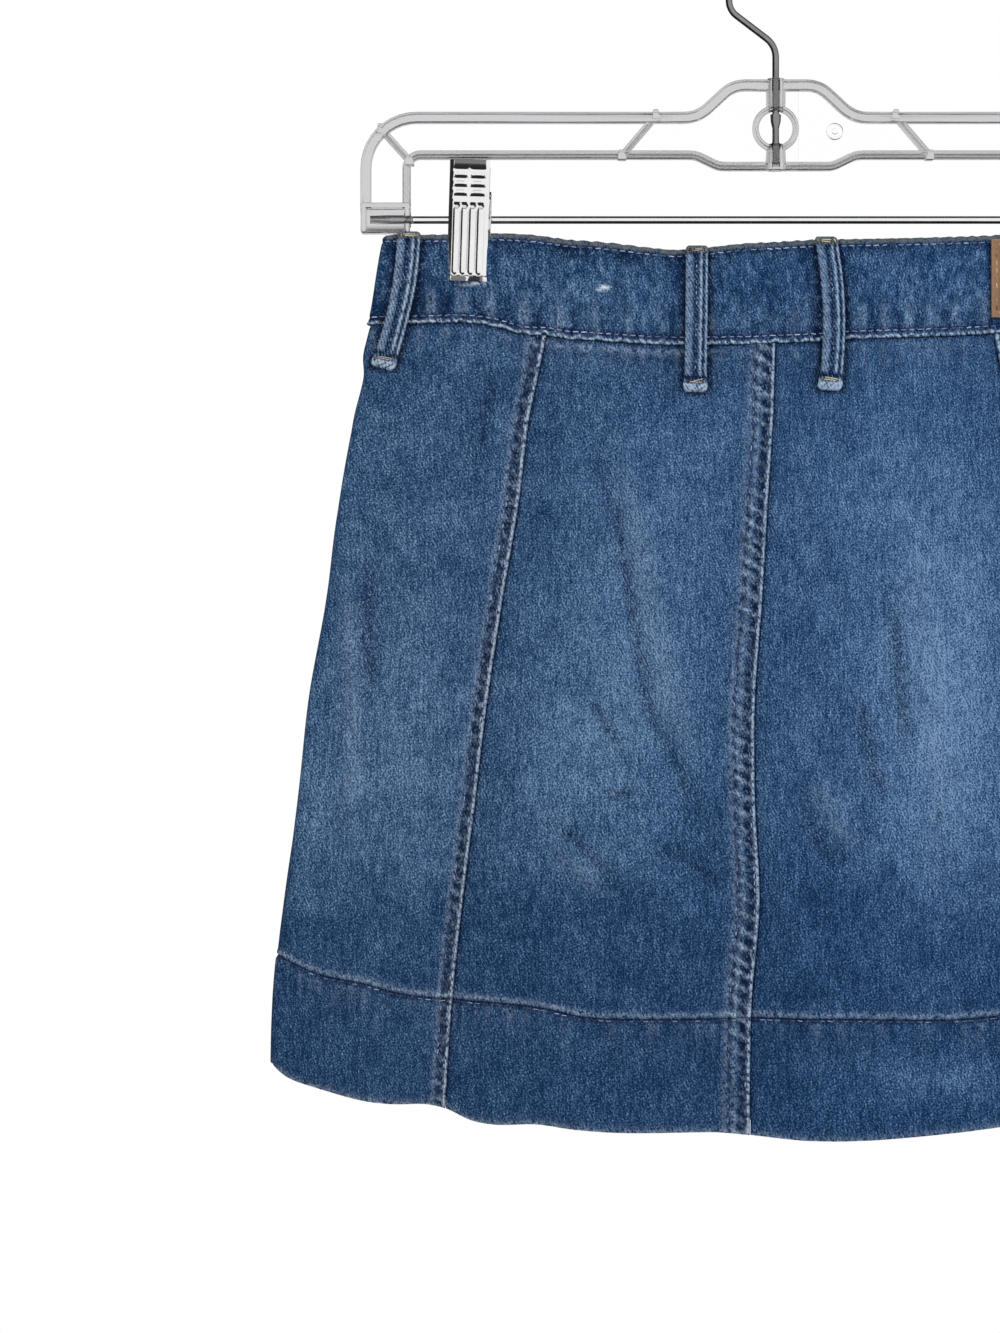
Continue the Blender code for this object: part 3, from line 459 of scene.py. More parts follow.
def creases(marks, station, x, below):
    """Adds the drape's creases and small swells to the marks, with painted shade in the crease troughs and
    paler raised creases.
    """
    for face, rows in CREASES.items():
        for out, width, *line in rows:
            width, line = MM * width, MM * np.array(line)
            (left, top), (right, foot) = line.min(0) - 4 * width, line.max(0) + 4 * width
            near = (left < x) & (x < right) & (top < below) & (below < foot) & facing(station, face)
            if not near.any():
                continue
            away, where = line_distance(x[near], below[near], line)
            shape = swell(away, 0, width) * plateau(-0.05, 0.3, 0.7, 1.05, where)
            marks[OUT][near] += MM * out * shape
            # Painted shade in the troughs. Raised creases are made paler.
            if out < 0:
                marks[DYE_AND_SHADE][near] += (0.36 + 0.24 * swell(away, 0, 0.5 * width)) * shape
            else:
                marks[DYE_AND_SHADE][near] -= 0.08 * shape
                marks[WEAR][near] += 0.13 * shape
    side = 3.0 * facing(station, "front")
    marks[OUT] += 0.00035 * billows(x * 22 + side, below * 12, 5) * rise(0.17, 0.22, below)


def loop_middle(loop, share):
    """X of a loop's middle line, by share of its length."""
    bow = loop.middle_x - (loop.top_x + loop.foot_x) / 2
    return mix(loop.top_x, loop.foot_x, share) + bow * 4 * share * (1 - share)


def loop_shade(marks, station, x, below):
    """Paints shadow on the cloth beside each belt loop, which stands off it."""
    top, reach = 0.124, 0.0022
    for loop in LOOPS:
        share = held((below - top) / (loop.foot_below - top))
        above_foot = 1 - rise(loop.foot_below - 0.001, loop.foot_below + 0.0026, below)
        here = facing(station, loop.face) * above_foot
        away = np.maximum(np.abs(x - loop_middle(loop, share)) - LOOP_WIDTH / 2, 0)
        side = 1.0 + 0.5 * uneven(below / 0.011, len(loop.name))
        # Painted shadow, darkest right beside the loop's edges.
        marks[DYE_AND_SHADE] += here * (0.75 + 0.25 * side) * swell(away, 0, reach)
        marks[DYE_AND_SHADE] += here * 0.25 * side * np.exp(-away / 0.005)


def fades(station, x, below):
    """How washed out the cloth is at a place, -1 to 1."""
    total = -0.1 - 0.42 * rise(0.385, 0.425, below) - 0.05 * rise(0.44, 0.46, below)
    total = total + 0.05 * plateau(0.19, 0.24, 0.36, 0.4, below)
    for face, places in FADES.items():
        for at_x, depth, half_width, half_height, amount in places:
            spot = swell(x, MM * at_x, MM * half_width) * swell(below, MM * depth, MM * half_height)
            total = total + amount * spot * facing(station, face)
    return total


def meets(lap, seam):
    return abs(wrapped(seam) - lap.station) < 0.01


def lapped(marks, d, v, lap):
    """The upper cloth of a lapped seam, by distance from its edge: a ridge, two rows and ropes."""
    inner, outer = lap.rows
    rope = uneven(v / 0.0062 + d / 0.011, lap.seed)
    body = 1 - rise(outer + 0.0008, outer + 0.005, d)
    roll = 1 - np.sqrt(np.clip(1 - held(1 - d / 0.0009) ** 2, 0, 1))
    between = plateau(0.5 * inner, 1.2 * inner, outer - 0.0004, outer + 0.0022, d)
    rows = swell(d, inner, 0.00055) + swell(d, outer, 0.00055)
    twist = uneven(v / 0.0024 + d / 0.0016, lap.seed + 5)
    ridge = swell(d, 0.00088 + 0.00014 * twist, 0.00056)
    marks[OUT] += 0.0009 * body - 0.0014 * roll + 0.00022 * ridge - 0.00032 * rows
    marks[OUT] += lap.rope * 0.00034 * rope * between
    up, down = held(rope), held(-rope)
    marks[WEAR] += ridge * (1.08 + 0.62 * twist) + lap.rope * 0.5 * up * between
    marks[WEAR] += 0.2 * swell(d, outer + 0.0016, 0.001)
    marks[WEAR] += 0.22 * lap.rope**3 * swell(d, outer - 0.0022, 0.001)
    # The seam is darkest at the rows, in the band beside the ridge and in the rope dips. This is partly dye
    # kept in the seam and partly painted shade.
    wide = plateau(0.6 * inner, inner, inner + 0.0018, inner + 0.0034, d)
    marks[DYE_AND_SHADE] += 0.4 * rows + (0.14 + 0.66 * lap.rope * down) * between + 0.74 * wide
    marks[RUST] += 0.3 * swell(d, inner, 0.0007) + 0.3 * swell(d, outer, 0.0007)


def lapped_under(marks, d):
    """The lower cloth of a lapped seam: it dips beneath the edge, in its shade."""
    marks[OUT] -= 0.0005 * np.exp(-d / 0.0008)
    marks[DYE_AND_SHADE] += 0.66 * swell(d, 0, 0.0012) + 0.24 * np.exp(-d / 0.004)


def plain_seam(marks, d):
    """Either side of a pressed-open seam with nothing sewn on it from outside."""
    marks[OUT] -= 0.0006 * np.exp(-d / 0.0006) - 0.00015 * swell(d, 0.0035, 0.002)
    # Painted shade in the seam's groove.
    marks[DYE_AND_SHADE] += 0.7 * np.exp(-d / 0.0007)
    marks[WEAR] += 0.25 * swell(d, 0.0016, 0.0012)


def rolled(d, radius):
    """How far in a face lies that rolls over an edge, by distance from it."""
    return radius - np.sqrt(np.clip(radius**2 - np.clip(radius - d, 0, radius) ** 2, 0, None))


def under_waist(marks, u, above, x):
    """The top of a panel: gathers, pale bumps, painted shadow where it goes in under the waistband, and a
    pale band and a darker band left of the middle.
    """
    gather = uneven(u / 0.0085, 31) * np.exp(-above / 0.006)
    left_bands = swell(x, -0.067, 0.04) * (0.6 + 0.4 * uneven(u / 0.011, 43))
    marks[OUT] += 0.0003 * gather - 0.0004 * np.exp(-above / 0.0012)
    marks[WEAR] += 0.4 * held(gather) * rise(0.0014, 0.0028, above)
    marks[WEAR] += 0.42 * left_bands * swell(above, 0.003, 0.0013)
    # Painted shadow along the waistband's edge. The left bands add a darker band further down.
    marks[DYE_AND_SHADE] += 0.62 * swell(above, 0, 0.0012) + 0.45 * left_bands * swell(above, 0.0068, 0.0022)


def foot_of_panel(marks, u, under):
    """The foot of a panel, rolled in over the hem band's seam."""
    gather = uneven(u / 0.0052, 32) * np.exp(-under / 0.0035)
    marks[OUT] += 0.00012 * gather + 0.0003 * swell(under, 0.0013, 0.001) - rolled(under, 0.0007)
    marks[WEAR] += 0.3 * swell(under, 0.0018, 0.0012) + 0.12 * held(gather)
    # Painted shade along the foot where it rolls in.
    marks[DYE_AND_SHADE] += 0.6 * swell(under, 0, 0.0006)


def top_of_band(marks, u, above):
    """The top of the hem band, puckered along its row of stitches."""
    gather = uneven(u / 0.005, 33) * np.exp(-above / 0.007)
    marks[OUT] += 0.00018 * gather - 0.0008 * swell(above, 0, 0.0011)
    marks[WEAR] += 0.3 * held(gather) * rise(0.0012, 0.0026, above)
    # Painted shade along the row just under the panel's rolled foot and in the pucker dips.
    marks[DYE_AND_SHADE] += 0.55 * swell(above, 0.0008, 0.0012) + 0.35 * held(-gather)
    marks[RUST] += 0.7 * swell(above, 0.0008, 0.0009)


def hem_fold(marks, u, under, thick):
    """The worn fold at the hem band's foot."""
    marks[OUT] -= rolled(under, thick / 2)
    marks[OUT] += 0.00015 * uneven(u / 0.012, 34) * np.exp(-under / 0.006)
    marks[WEAR] += 0.55 * np.exp(-under / 0.001)


def waistband_face(marks, u, above, under, x, below):
    """The waistband: its soiled top fold, sewn grooves, pulls between them and a roped lower edge."""
    pull, patchy = uneven(u / 0.0135, 35), uneven(u / 0.024, 44)
    marks[OUT] -= rolled(above, WAIST_CLOTH / 2) + rolled(under, 0.001)
    marks[OUT] += 0.00018 * uneven(u / 0.009, 36) * np.exp(-above / 0.005)
    marks[OUT] += 0.00034 * pull * swell(under, 0.0085, 0.006)
    marks[OUT] -= 0.00034 * (swell(above, 0.0026, 0.0006) + swell(under, WAIST_ROW, 0.0006))
    wave, rope = 0.00056 * uneven(u / 0.0085, 37), uneven(u / 0.0029 + under / 0.004, 38)
    ridge = swell(under, 0.0008 + wave, 0.00058 + 0.0002 * rope)
    marks[OUT] += (0.00045 + 0.00022 * rope) * ridge
    marks[SOIL] += 1.05 * (1 - rise(0.0008, 0.0023, above))
    marks[WEAR] += (0.92 + 0.85 * rope) * ridge
    marks[WEAR] += 0.26 * held(pull) * swell(under, 0.009, 0.0055)
    # Painted shade under the roped edge, in the two sewn grooves and in the dips between the pulls, partly
    # dye kept in the grooves. The band below the top row is painted shade too.
    marks[DYE_AND_SHADE] += 0.9 * rise(0.0004 + wave, -0.0002 + wave, under)
    marks[DYE_AND_SHADE] += 0.6 * swell(above, 0.0028, 0.0014) + 0.86 * swell(under, WAIST_ROW - 0.0001, 0.0015)
    marks[DYE_AND_SHADE] += 0.6 * held(-pull) * swell(under, 0.008, 0.005)
    shade = (0.8 + 0.5 * patchy) * (0.35 + swell(x, -0.078, 0.042))
    marks[DYE_AND_SHADE] += 0.5 * shade * swell(above, 0.0052, 0.003)
    streak = uneven(u / 0.0105, 39) * uneven(below / 0.019 + 0.3, 40)
    marks[DYE_AND_SHADE] += 0.36 * held(streak)
    marks[RUST] += 0.5 * swell(above, 0.0026, 0.0008) + 0.5 * swell(under, WAIST_ROW, 0.0008)


def waistband_spots(marks, station, x, below):
    """On the waistband's back: a shade beside the patch, and two spots worn down to the white weft."""
    back = plateau(2.9, 3.1, 4.9, 5.1, station)
    marks[DYE_AND_SHADE] += 1.0 * back * swell(x, PATCH_X[0] - 0.0004, 0.0008)
    slanted, arched = below + 0.16 * (x + 0.0742), below - 12.0 * (x + 0.1285) ** 2
    marks[WEAR] += 2.9 * back * swell(x, -0.0742, 0.0024) * swell(slanted, 0.1464, 0.0008)
    marks[WEAR] += 1.7 * back * swell(x, -0.1285, 0.0042) * swell(arched, 0.144, 0.0006)


def lapped_end(marks, station, above, under, from_end):
    """The waistband's lapped ends at the front, and the slot of the buttonhole."""
    marks[OUT] -= (WAIST_CLOTH + WAIST_CLEAR) * rise(*STEP_IN, station)
    marks[OUT] -= rolled(from_end, 0.0011) + 0.0003 * swell(from_end, 0.0022, 0.0006)
    marks[WEAR] += 0.6 * swell(from_end, 0.0006, 0.0009)
    start, end = BUTTONHOLE
    past_ends = np.maximum(np.abs(station - (start + end) / 2) - (end - start) / 2, 0) * BUTTONHOLE_REACH
    slot = np.hypot(past_ends, (above - under) / 2)
    marks[OUT] -= 0.001 * swell(slot, 0, 0.0005)
    # Painted shade in the buttonhole's slot.
    marks[DYE_AND_SHADE] += 1.6 * swell(slot, 0, 0.0006)


class Cloth:
    """One cut piece of the tube: a closed wall of cloth between two stations and two level edges."""

    def __init__(self, name, start, end, upper, lower, proud, thick):
        self.name, self.start, self.end = name, start, end
        self.upper, self.lower, self.proud, self.thick = upper, lower, proud, thick
        self.middle = length_at((start + end) / 2)

    def width_from(self, station, seam, below):
        return np.abs(length_at(station) - length_at(seam)) * stretch(below)

    def along_cloth(self, station, below):
        """Length across the grain, with the grain upright in the middle of the piece."""
        middle_station = (self.start + self.end) / 2
        x, _ = ring(np.full(np.shape(below), middle_station), below)
        hand = 1 if wrapped(middle_station) <= 1 else -1
        return (length_at(station) - self.middle) * stretch(below) + hand * x

    def marks(self, station, below):
        """What the piece's outer face is like at places on it."""
        station, below = np.broadcast_arrays(np.asarray(station, float), np.asarray(below, float))
        x, _ = ring(station, below)
        marks = np.zeros((5, *x.shape))
        self.edge_marks(marks, station, below, x)
        creases(marks, station, x, below)
        loop_shade(marks, station, x, below)
        if self.upper != "top":
            for seam, here in ((self.start, 1), (self.end, -1)):
                self.seam_marks(marks, seam, here, station, below)
        marks[OUT] += self.proud
        return marks

    def seam_marks(self, marks, seam, here, station, below):
        d = self.width_from(station, seam, below) + 0.00005
        for lap in LAPS:
            if meets(lap, seam):
                if lap.side == here:
                    lapped(marks, d, below, lap)
                else:
                    lapped_under(marks, d)
                return
        plain_seam(marks, d)

    def edge_marks(self, marks, station, below, x):
        u = self.along_cloth(station, below)
        above = np.maximum(below - edge(self.upper, station), 0)
        under = np.maximum(edge(self.lower, station) - below, 0)
        if self.upper == "waist":
            under_waist(marks, u, above, x)
            foot_of_panel(marks, u, under)
        elif self.upper == "band":
            top_of_band(marks, u, above)
            hem_fold(marks, u, under, self.thick)
        else:
            waistband_face(marks, u, above, under, x, below)
            waistband_spots(marks, station, x, below)
            lapped_end(marks, station, above, under, self.width_from(station, OVER_END, below))

    def place(self, station, below, lift=0.0):
        """Points on the outer face, lifted off it, and the way out there."""
        return surface(station, below, self.marks(station, below)[OUT] + lift)

    def columns(self, step):
        """Stations of the mesh's columns, close at seams and folds and along the seen waistband."""
        folds = [length_at(s) for s in (-1.0, 1.0, 3.0, 5.0)]
        parts, fine, reach = ((self.start, self.end, step),), 0.00045, 0.0075
        if self.upper == "top":
            seen = (3.0, 5.0, 0.4 * step)
            parts, fine, reach = ((self.start, 3.0, step), seen, (5.0, self.end, step)), 0.0006, 0.003
        else:
            folds += [length_at(self.start), length_at(self.end)]
        columns = []
        for start, end, coarse in parts:
            first, last = length_at(np.array((start, end))) + np.array((SEAM_GAP, -SEAM_GAP))
            columns.append(spaced(first, last, folds, fine, coarse, reach))
        return station_at(np.concatenate(columns))

    def build(self, finish, column_step, row_step):
        """Makes the wall's mesh, with its grain as a UV map and its marks as attributes."""
        columns = self.columns(column_step)
        height = float(np.mean(edge(self.lower, columns) - edge(self.upper, columns)))
        reach = 0.0045 if self.upper == "top" else 0.0022
        shares = spaced(0.0, height, (0.0, height), 0.00032, row_step, reach) / height
        top = edge(self.upper, columns) + (SEAM_GAP if self.upper != "top" else -EDGE_PROUD)
        foot = edge(self.lower, columns) - (SEAM_GAP if self.lower != "foot" else -EDGE_PROUD)
        if self.upper == "top":
            top = top - 0.00022 * uneven(length_at(columns) / 0.0075, 51)
        below = mix(top[:, None], foot[:, None], shares[None, :])
        station = np.repeat(columns[:, None], len(shares), 1)
        marks = self.marks(station, below)
        outer, _ = surface(station, below, marks[OUT])
        tuck = np.zeros_like(below)
        if self.lower == "foot":
            tuck = rolled(foot[:, None] - below, self.thick / 2)
        if self.upper == "top":
            tuck = rolled(below - top[:, None], self.thick / 2)
            tuck = tuck - (WAIST_CLOTH + WAIST_CLEAR) * rise(*STEP_IN, station)
        inner, _ = surface(station, below, self.proud - self.thick + tuck)
        piece = wall_of_cloth(f"cloth_{self.name}", outer, inner, finish)
        x, _ = ring(station, below)
        grain = self.along_cloth(station, below)
        dress(piece.data, grain, -below, readings(marks, fades(station, x, below)))
        return piece

    def flat(self):
        """Width and length of the cut of what shows, and its area."""
        stations = np.linspace(self.start, self.end, 41)
        top, foot = edge(self.upper, stations), edge(self.lower, stations)
        heights = foot - top
        wide = (length_at(self.end) - length_at(self.start)) * stretch(np.array((top.mean(), foot.mean())))
        size = (float(wide.max()), float(heights.max()))
        return size, float(wide.mean() * heights.mean())


def wall_of_cloth(name, outer, inner, finish):
    """A closed wall between two grids of points, columns by rows."""
    columns, rows = outer.shape[:2]
    number = np.arange(columns * rows).reshape(columns, rows)
    a, b = number[:-1, :-1], number[:-1, 1:]
    c, d = number[1:, 1:], number[1:, :-1]
    face = np.stack((a, b, c, d), -1).reshape(-1, 4)
    behind = columns * rows
    rim = np.concatenate((number[0, :], number[1:, -1], number[-1, -2::-1], number[-2:0:-1, 0]))
    after = np.roll(rim, -1)
    walls = np.stack((after, rim, rim + behind, after + behind), -1)
    faces = np.concatenate((face, face[:, ::-1] + behind, walls))
    points = np.concatenate((outer.reshape(-1, 3), inner.reshape(-1, 3)))
    return quads_piece(name, points, faces, finish)


def quads_piece(name, points, faces, finish):
    """A smooth object from arrays of points and of four-cornered faces."""
    mesh = bpy.data.meshes.new(name)
    mesh.vertices.add(len(points))
    mesh.vertices.foreach_set("co", np.ascontiguousarray(points, np.float32).ravel())
    mesh.loops.add(faces.size)
    mesh.loops.foreach_set("vertex_index", np.ascontiguousarray(faces, np.int32).ravel())
    mesh.polygons.add(len(faces))
    mesh.polygons.foreach_set("loop_start", np.arange(0, faces.size, 4, dtype=np.int32))
    mesh.update(calc_edges=True)
    mesh.polygons.foreach_set("use_smooth", np.ones(len(faces), bool))
    mesh.validate()
    mesh.materials.append(finish)
    piece = bpy.data.objects.new(name, mesh)
    bpy.context.scene.collection.objects.link(piece)
    return piece


def readings(marks, fade):
    """What the denim's finish reads of the marks, and how faded the places are."""
    return {"fade": fade, **{name: marks[k] for name, k in MARK_NAMES.items()}}


def dress(mesh, u, v, attributes):
    """Gives a mesh its grain as a UV map, and values that its finish reads."""
    sides = len(mesh.vertices) // u.size
    corner = np.empty(len(mesh.loops), np.int32)
    mesh.loops.foreach_get("vertex_index", corner)
    grain = np.tile(np.stack((u.ravel(), v.ravel()), -1), (sides, 1))
    layer = mesh.uv_layers.new(name="grain")
    layer.data.foreach_set("uv", grain[corner].astype(np.float32).ravel())
    for name, values in attributes.items():
        made = mesh.attributes.new(name, "FLOAT", "POINT")
        made.data.foreach_set("value", np.tile(values.ravel(), sides).astype(np.float32))


PANEL_NAMES = ("back_side_left", "back_left", "back_right", "back_side_right", "front_right", "front_left")
SEAMS = (-SIDE_SEAM, -PRINCESS, 0.0, PRINCESS, SIDE_SEAM, CENTRE_FRONT, 4 - SIDE_SEAM)


def cut(prefix, *rest):
    """Six pieces of cloth side by side between the same two level edges."""
    return {n: Cloth(f"{prefix}_{n}", a, b, *rest) for n, a, b in zip(PANEL_NAMES, SEAMS, SEAMS[1:])}


PANELS = cut("panel", "waist", "band", 0.0, PANEL_CLOTH)
BANDS = cut("hem_band", "band", "foot", BAND_PROUD, BAND_CLOTH)
WAISTBAND = Cloth("waistband", OVER_END, UNDER_END, "top", "waist", WAIST_PROUD, WAIST_CLOTH)


# ---- materials
class Value:
    """A shader socket used as a value: sums of values add their Math nodes."""

    def __init__(self, finish, socket):
        self.finish, self.socket = finish, socket

    def math(self, operation, *others):
        return self.finish.node("Math", {"operation": operation}, dict(enumerate((self, *others))))

    def __add__(self, other):
        return self.math("ADD", other)

    def __mul__(self, other):
        return self.math("MULTIPLY", other)

    def __sub__(self, other):
        return self.math("SUBTRACT", other)

    def __rsub__(self, other):
        return self.finish.node("Math", {"operation": "SUBTRACT"}, {0: other, 1: self})

    __radd__, __rmul__ = __add__, __mul__

    def step(self, start, end):
        """A smooth rise from 0 to 1 between two values, in nodes."""
        sockets = {"Value": self, "From Min": start, "From Max": end}
        return self.finish.node("MapRange", {"interpolation_type": "SMOOTHSTEP"}, sockets)

    def held(self):
        """The value kept between 0 and 1."""
        return self.finish.node("Clamp", {}, {"Value": self})


class Finish:
    """A material or a room's light being made: node() adds any node, the rest cover common ones."""

    def __init__(self, name, kind="materials"):
        self.material = getattr(bpy.data, kind).new(name)
        self.material.use_nodes = True
        self.tree = self.material.node_tree
        self.shader = self.tree.nodes.get("Principled BSDF")

    def feed(self, socket, value):
        if isinstance(value, Value):
            self.tree.links.new(value.socket, socket)
        else:
            socket.default_value = value

    def node(self, kind, settings, sockets, output=0):
        """Adds a node by its type's last words, with its settings and then its sockets' values or links."""
        made = self.tree.nodes.new(f"ShaderNode{kind}")
        for key, value in settings.items():
            if key == "stops":
                first, *between, last = value
                for k, (place, colour) in enumerate((first, last, *between)):
                    stop = made.color_ramp.elements[k] if k < 2 else made.color_ramp.elements.new(place)
                    stop.position, stop.color = place, (*colour, 1)
            else:
                setattr(made, key, value)
        for key, value in sockets.items():
            self.feed(made.inputs[key], value)
        return Value(self, made.outputs[output])

    def blend(self, share, a, b, how="MIX"):
        """One colour over another."""
        a, b = (c if isinstance(c, Value) else (*c, 1) for c in (a, b))
        settings = {"data_type": "RGBA", "blend_type": how, "clamp_factor": True}
        return self.node("Mix", settings, {0: share, 6: a, 7: b}, 2)

    def ramp(self, value, stops):
        return self.node("ValToRGB", {"stops": stops}, {0: value})

    def attribute(self, name):
        return self.node("Attribute", {"attribute_name": name}, {}, 2)

    def place(self):
        """Object coordinates, in metres."""
        return self.node("TexCoord", {}, {}, 3)

    def scaled(self, place, size):
        return self.node("Mapping", {}, {"Vector": place, "Scale": size})

    def spread(self, place, size, turn=0.0):
        """A vector turned and then scaled, for patterns that run one way."""
        slanted = self.node("Mapping", {}, {"Vector": place, "Rotation": (0, 0, turn)})
        return self.scaled(slanted, size)

    def noise(self, place, scale, detail=2.0, rough=0.5, flat=True):
        settings = {"noise_dimensions": "2D" if flat else "3D"}
        sockets = {"Vector": place, "Scale": scale, "Detail": detail, "Roughness": rough}
        return self.node("TexNoise", settings, sockets)

    def bump(self, height, strength, distance):
        sockets = {"Height": height, "Strength": strength, "Distance": distance}
        self.feed(self.shader.inputs["Normal"], self.node("Bump", {}, sockets))

    def set(self, **values):
        for name, value in values.items():
            self.feed(self.shader.inputs[name.replace("_", " ")], value)


TWILL = math.radians(-26)  # turns the grain so that twill lines fall steeply to the right


def denim_finish(name, look, base=-0.03, twill=0.15, mottle=0.42, knotted=0.7):
    """Washed indigo twill: upright slubs, pale weft specks, fades, worn ridges, and dark seams that are
    partly kept dye and partly painted shade.
    """
    f = Finish(name)
    grain = f.node("UVMap", {"uv_map": "grain"}, {})
    mm = f.node("VectorMath", {"operation": "SCALE"}, {0: grain, "Scale": 1000.0})
    slanted = f.spread(mm, (1.0, 1.0, 1.0), TWILL)
    waves = {"Vector": slanted, "Scale": 0.25, "Distortion": 2.2, "Detail": 2.0, "Detail Scale": 1.4}
    lines = f.node("TexWave", {}, waves)
    weft = f.noise(f.spread(mm, (1.0, 0.9, 1.0), TWILL), 1.35, 3.0, 0.8)
    thread = f.noise(f.spread(mm, (2.0, 0.3, 1.0)), 1.0, 2.0, 0.6)
    slub = f.noise(f.spread(mm, (0.85, 0.06, 1.0)), 1.0, 3.0, 0.6)
    cloud = f.noise(mm, 0.055, 4.0, 0.6)
    patch = f.noise(f.spread(mm, (1.0, 0.7, 1.0)), 0.12, 2.0, 0.6)
    blotch = f.noise(f.spread(mm, (1.0, 0.55, 1.0)), 0.32, 3.0, 0.6)
    blob = f.noise(mm, 0.46, 2.0, 0.5)
    wear, deep = f.attribute("wear"), f.attribute("deep")
    rust, fade, soil = f.attribute("rust"), f.attribute("fade"), f.attribute("soil")

    wash = fade * 0.3 + (base + 0.4)
    wash = wash + (cloud - 0.5) * 0.36 + (patch - 0.5) * (0.6 * mottle) + (blotch - 0.5) * mottle
    wash = wash + (slub - 0.5) * 0.6 + (thread - 0.5) * 0.9
    wash = wash + (weft - 0.5) * 2.85 + (lines - 0.5) * twill * (cloud * 1.6 + 0.2)
    colour = f.ramp(wash, ((0.0, look.deep), (0.3, look.mid), (0.62, look.pale), (1.0, look.worn)))
    speckle = (weft - 0.5) * 2.0 + (thread - 0.5) * 0.9
    rough = (blob - 0.5) * 2.8 + speckle * 1.1 + (lines - 0.5) * (3.0 * twill)
    knots = f.noise(mm, 0.62, 1.0, 0.5).step(0.36, 0.6)
    # Darkens toward the seam colour by the 'deep' marks, which are kept dye and painted shade.
    colour = f.blend((deep * (0.92 - rough * 0.8)).held(), colour, look.seam)
    colour = f.blend((rust * 0.14 * (blotch * 1.8 - 0.3)).held(), colour, look.stain)
    colour = f.blend((soil * (0.8 + rough)).held(), colour, look.soil)
    worn = wear * (rough * 0.9 + knots * knotted + (1.04 - knotted))
    colour = f.blend(worn.held(), colour, look.ridge)
    colour = f.blend(((wear - 1.25) * (1.5 + speckle)).held(), colour, look.fray)
    across = f.node("SeparateXYZ", {}, {0: f.place()}).step(-0.22, 0.08)
    colour = f.blend(1.0, colour, f.blend(across, (1.03, 1.0, 0.93), (0.92, 0.99, 1.0)), "MULTIPLY")
    f.set(Base_Color=colour, Roughness=0.86 + 0.12 * weft)
    f.set(Sheen_Weight=0.02, Sheen_Roughness=0.4, Specular_IOR_Level=0.08)
    f.bump(weft * 0.8 + thread * 0.5 + lines * twill * 3.0 + slub * 0.5 + blotch * mottle, 0.6, 0.00022)
    return f.material


def thread_finish(name, stops):
    """Sewing thread: each stitch its own shade, with the twist of its plies."""
    f = Finish(name)
    place = f.place()
    shade = f.attribute("shade")
    fluff = f.noise(place, 2600.0, 2.0, 0.6, flat=False)
    colour = f.ramp((shade + (fluff - 0.5) * 0.5).held(), stops)
    f.set(Base_Color=colour, Roughness=0.7 + 0.2 * fluff)
    f.bump(fluff, 0.4, 0.00008)
    return f.material


def leather_finish(look):
    f = Finish("tan_leather")
    place = f.place()
    grain = f.node("TexVoronoi", {}, {"Vector": place, "Scale": 1300.0})
    cloud, fibre = f.noise(place, 90.0, 4.0, 0.6, flat=False), f.noise(place, 900.0, 3.0, 0.7, flat=False)
    wear = f.attribute("wear")
    colour = f.ramp(cloud * 0.7 + fibre * 0.5 - 0.1, ((0.2, look[0]), (0.8, look[1])))
    colour = f.blend((wear * (0.5 + fibre)).held(), colour, look[2])
    f.set(Base_Color=colour, Roughness=0.42 + 0.25 * cloud)
    f.bump(grain * 0.8 + fibre * 0.7, 0.35, 0.00012)
    return f.material


def metal_finish(name, dark, bright, roughness, brush, tarnish=0.5):
    """Plated metal: fine drawing lines, and a slightly uneven tone."""
    f = Finish(name)
    place = f.place()
    lines = f.noise(f.scaled(place, brush), 1.0, 3.0, 0.6, flat=False)
    cloud = f.noise(place, 160.0, 3.0, 0.6, flat=False)
    colour = f.blend((cloud * tarnish + lines * 0.5 - 0.1).held(), bright, dark)
    f.set(Base_Color=colour, Roughness=roughness * 0.6 + roughness * 0.8 * lines, Metallic=1.0)
    f.bump(lines, 0.12, 0.00004)
    return f.material


def plastic_finish(name, look, rough):
    """Clear moulded plastic with flow marks and fine scuffs."""
    f = Finish(name)
    place = f.place()
    flow = f.noise(f.scaled(place, (18.0, 60.0, 60.0)), 1.0, 2.0, 0.5, flat=False)
    scuff = f.noise(place, 700.0, 3.0, 0.7, flat=False)
    clearer = tuple(min(1.0, c * 1.04) for c in look)
    f.set(Base_Color=f.blend(flow, clearer, look), Roughness=rough * 0.6 + 0.8 * rough * scuff)
    f.set(Transmission_Weight=1.0, IOR=1.47)
    f.bump(flow * 0.8 + scuff * 0.1, 0.25, 0.0006)
    return f.material


# ---- stitches
STITCH_LIFT = 0.4  # radii that a stitch's middle stands off the cloth
RING = 6  # points round a stitch, and rings of them along it
# Each ring's place along half the stitch, its thickness, and how far it is sunk in the cloth.
STITCH_RINGS = np.array((
    (-1.0, 0.45, 1.5), (-0.72, 0.9, 0.25), (-0.25, 1.0, 0.0),
    (0.25, 1.0, 0.0), (0.72, 0.9, 0.25), (1.0, 0.45, 1.5),
))


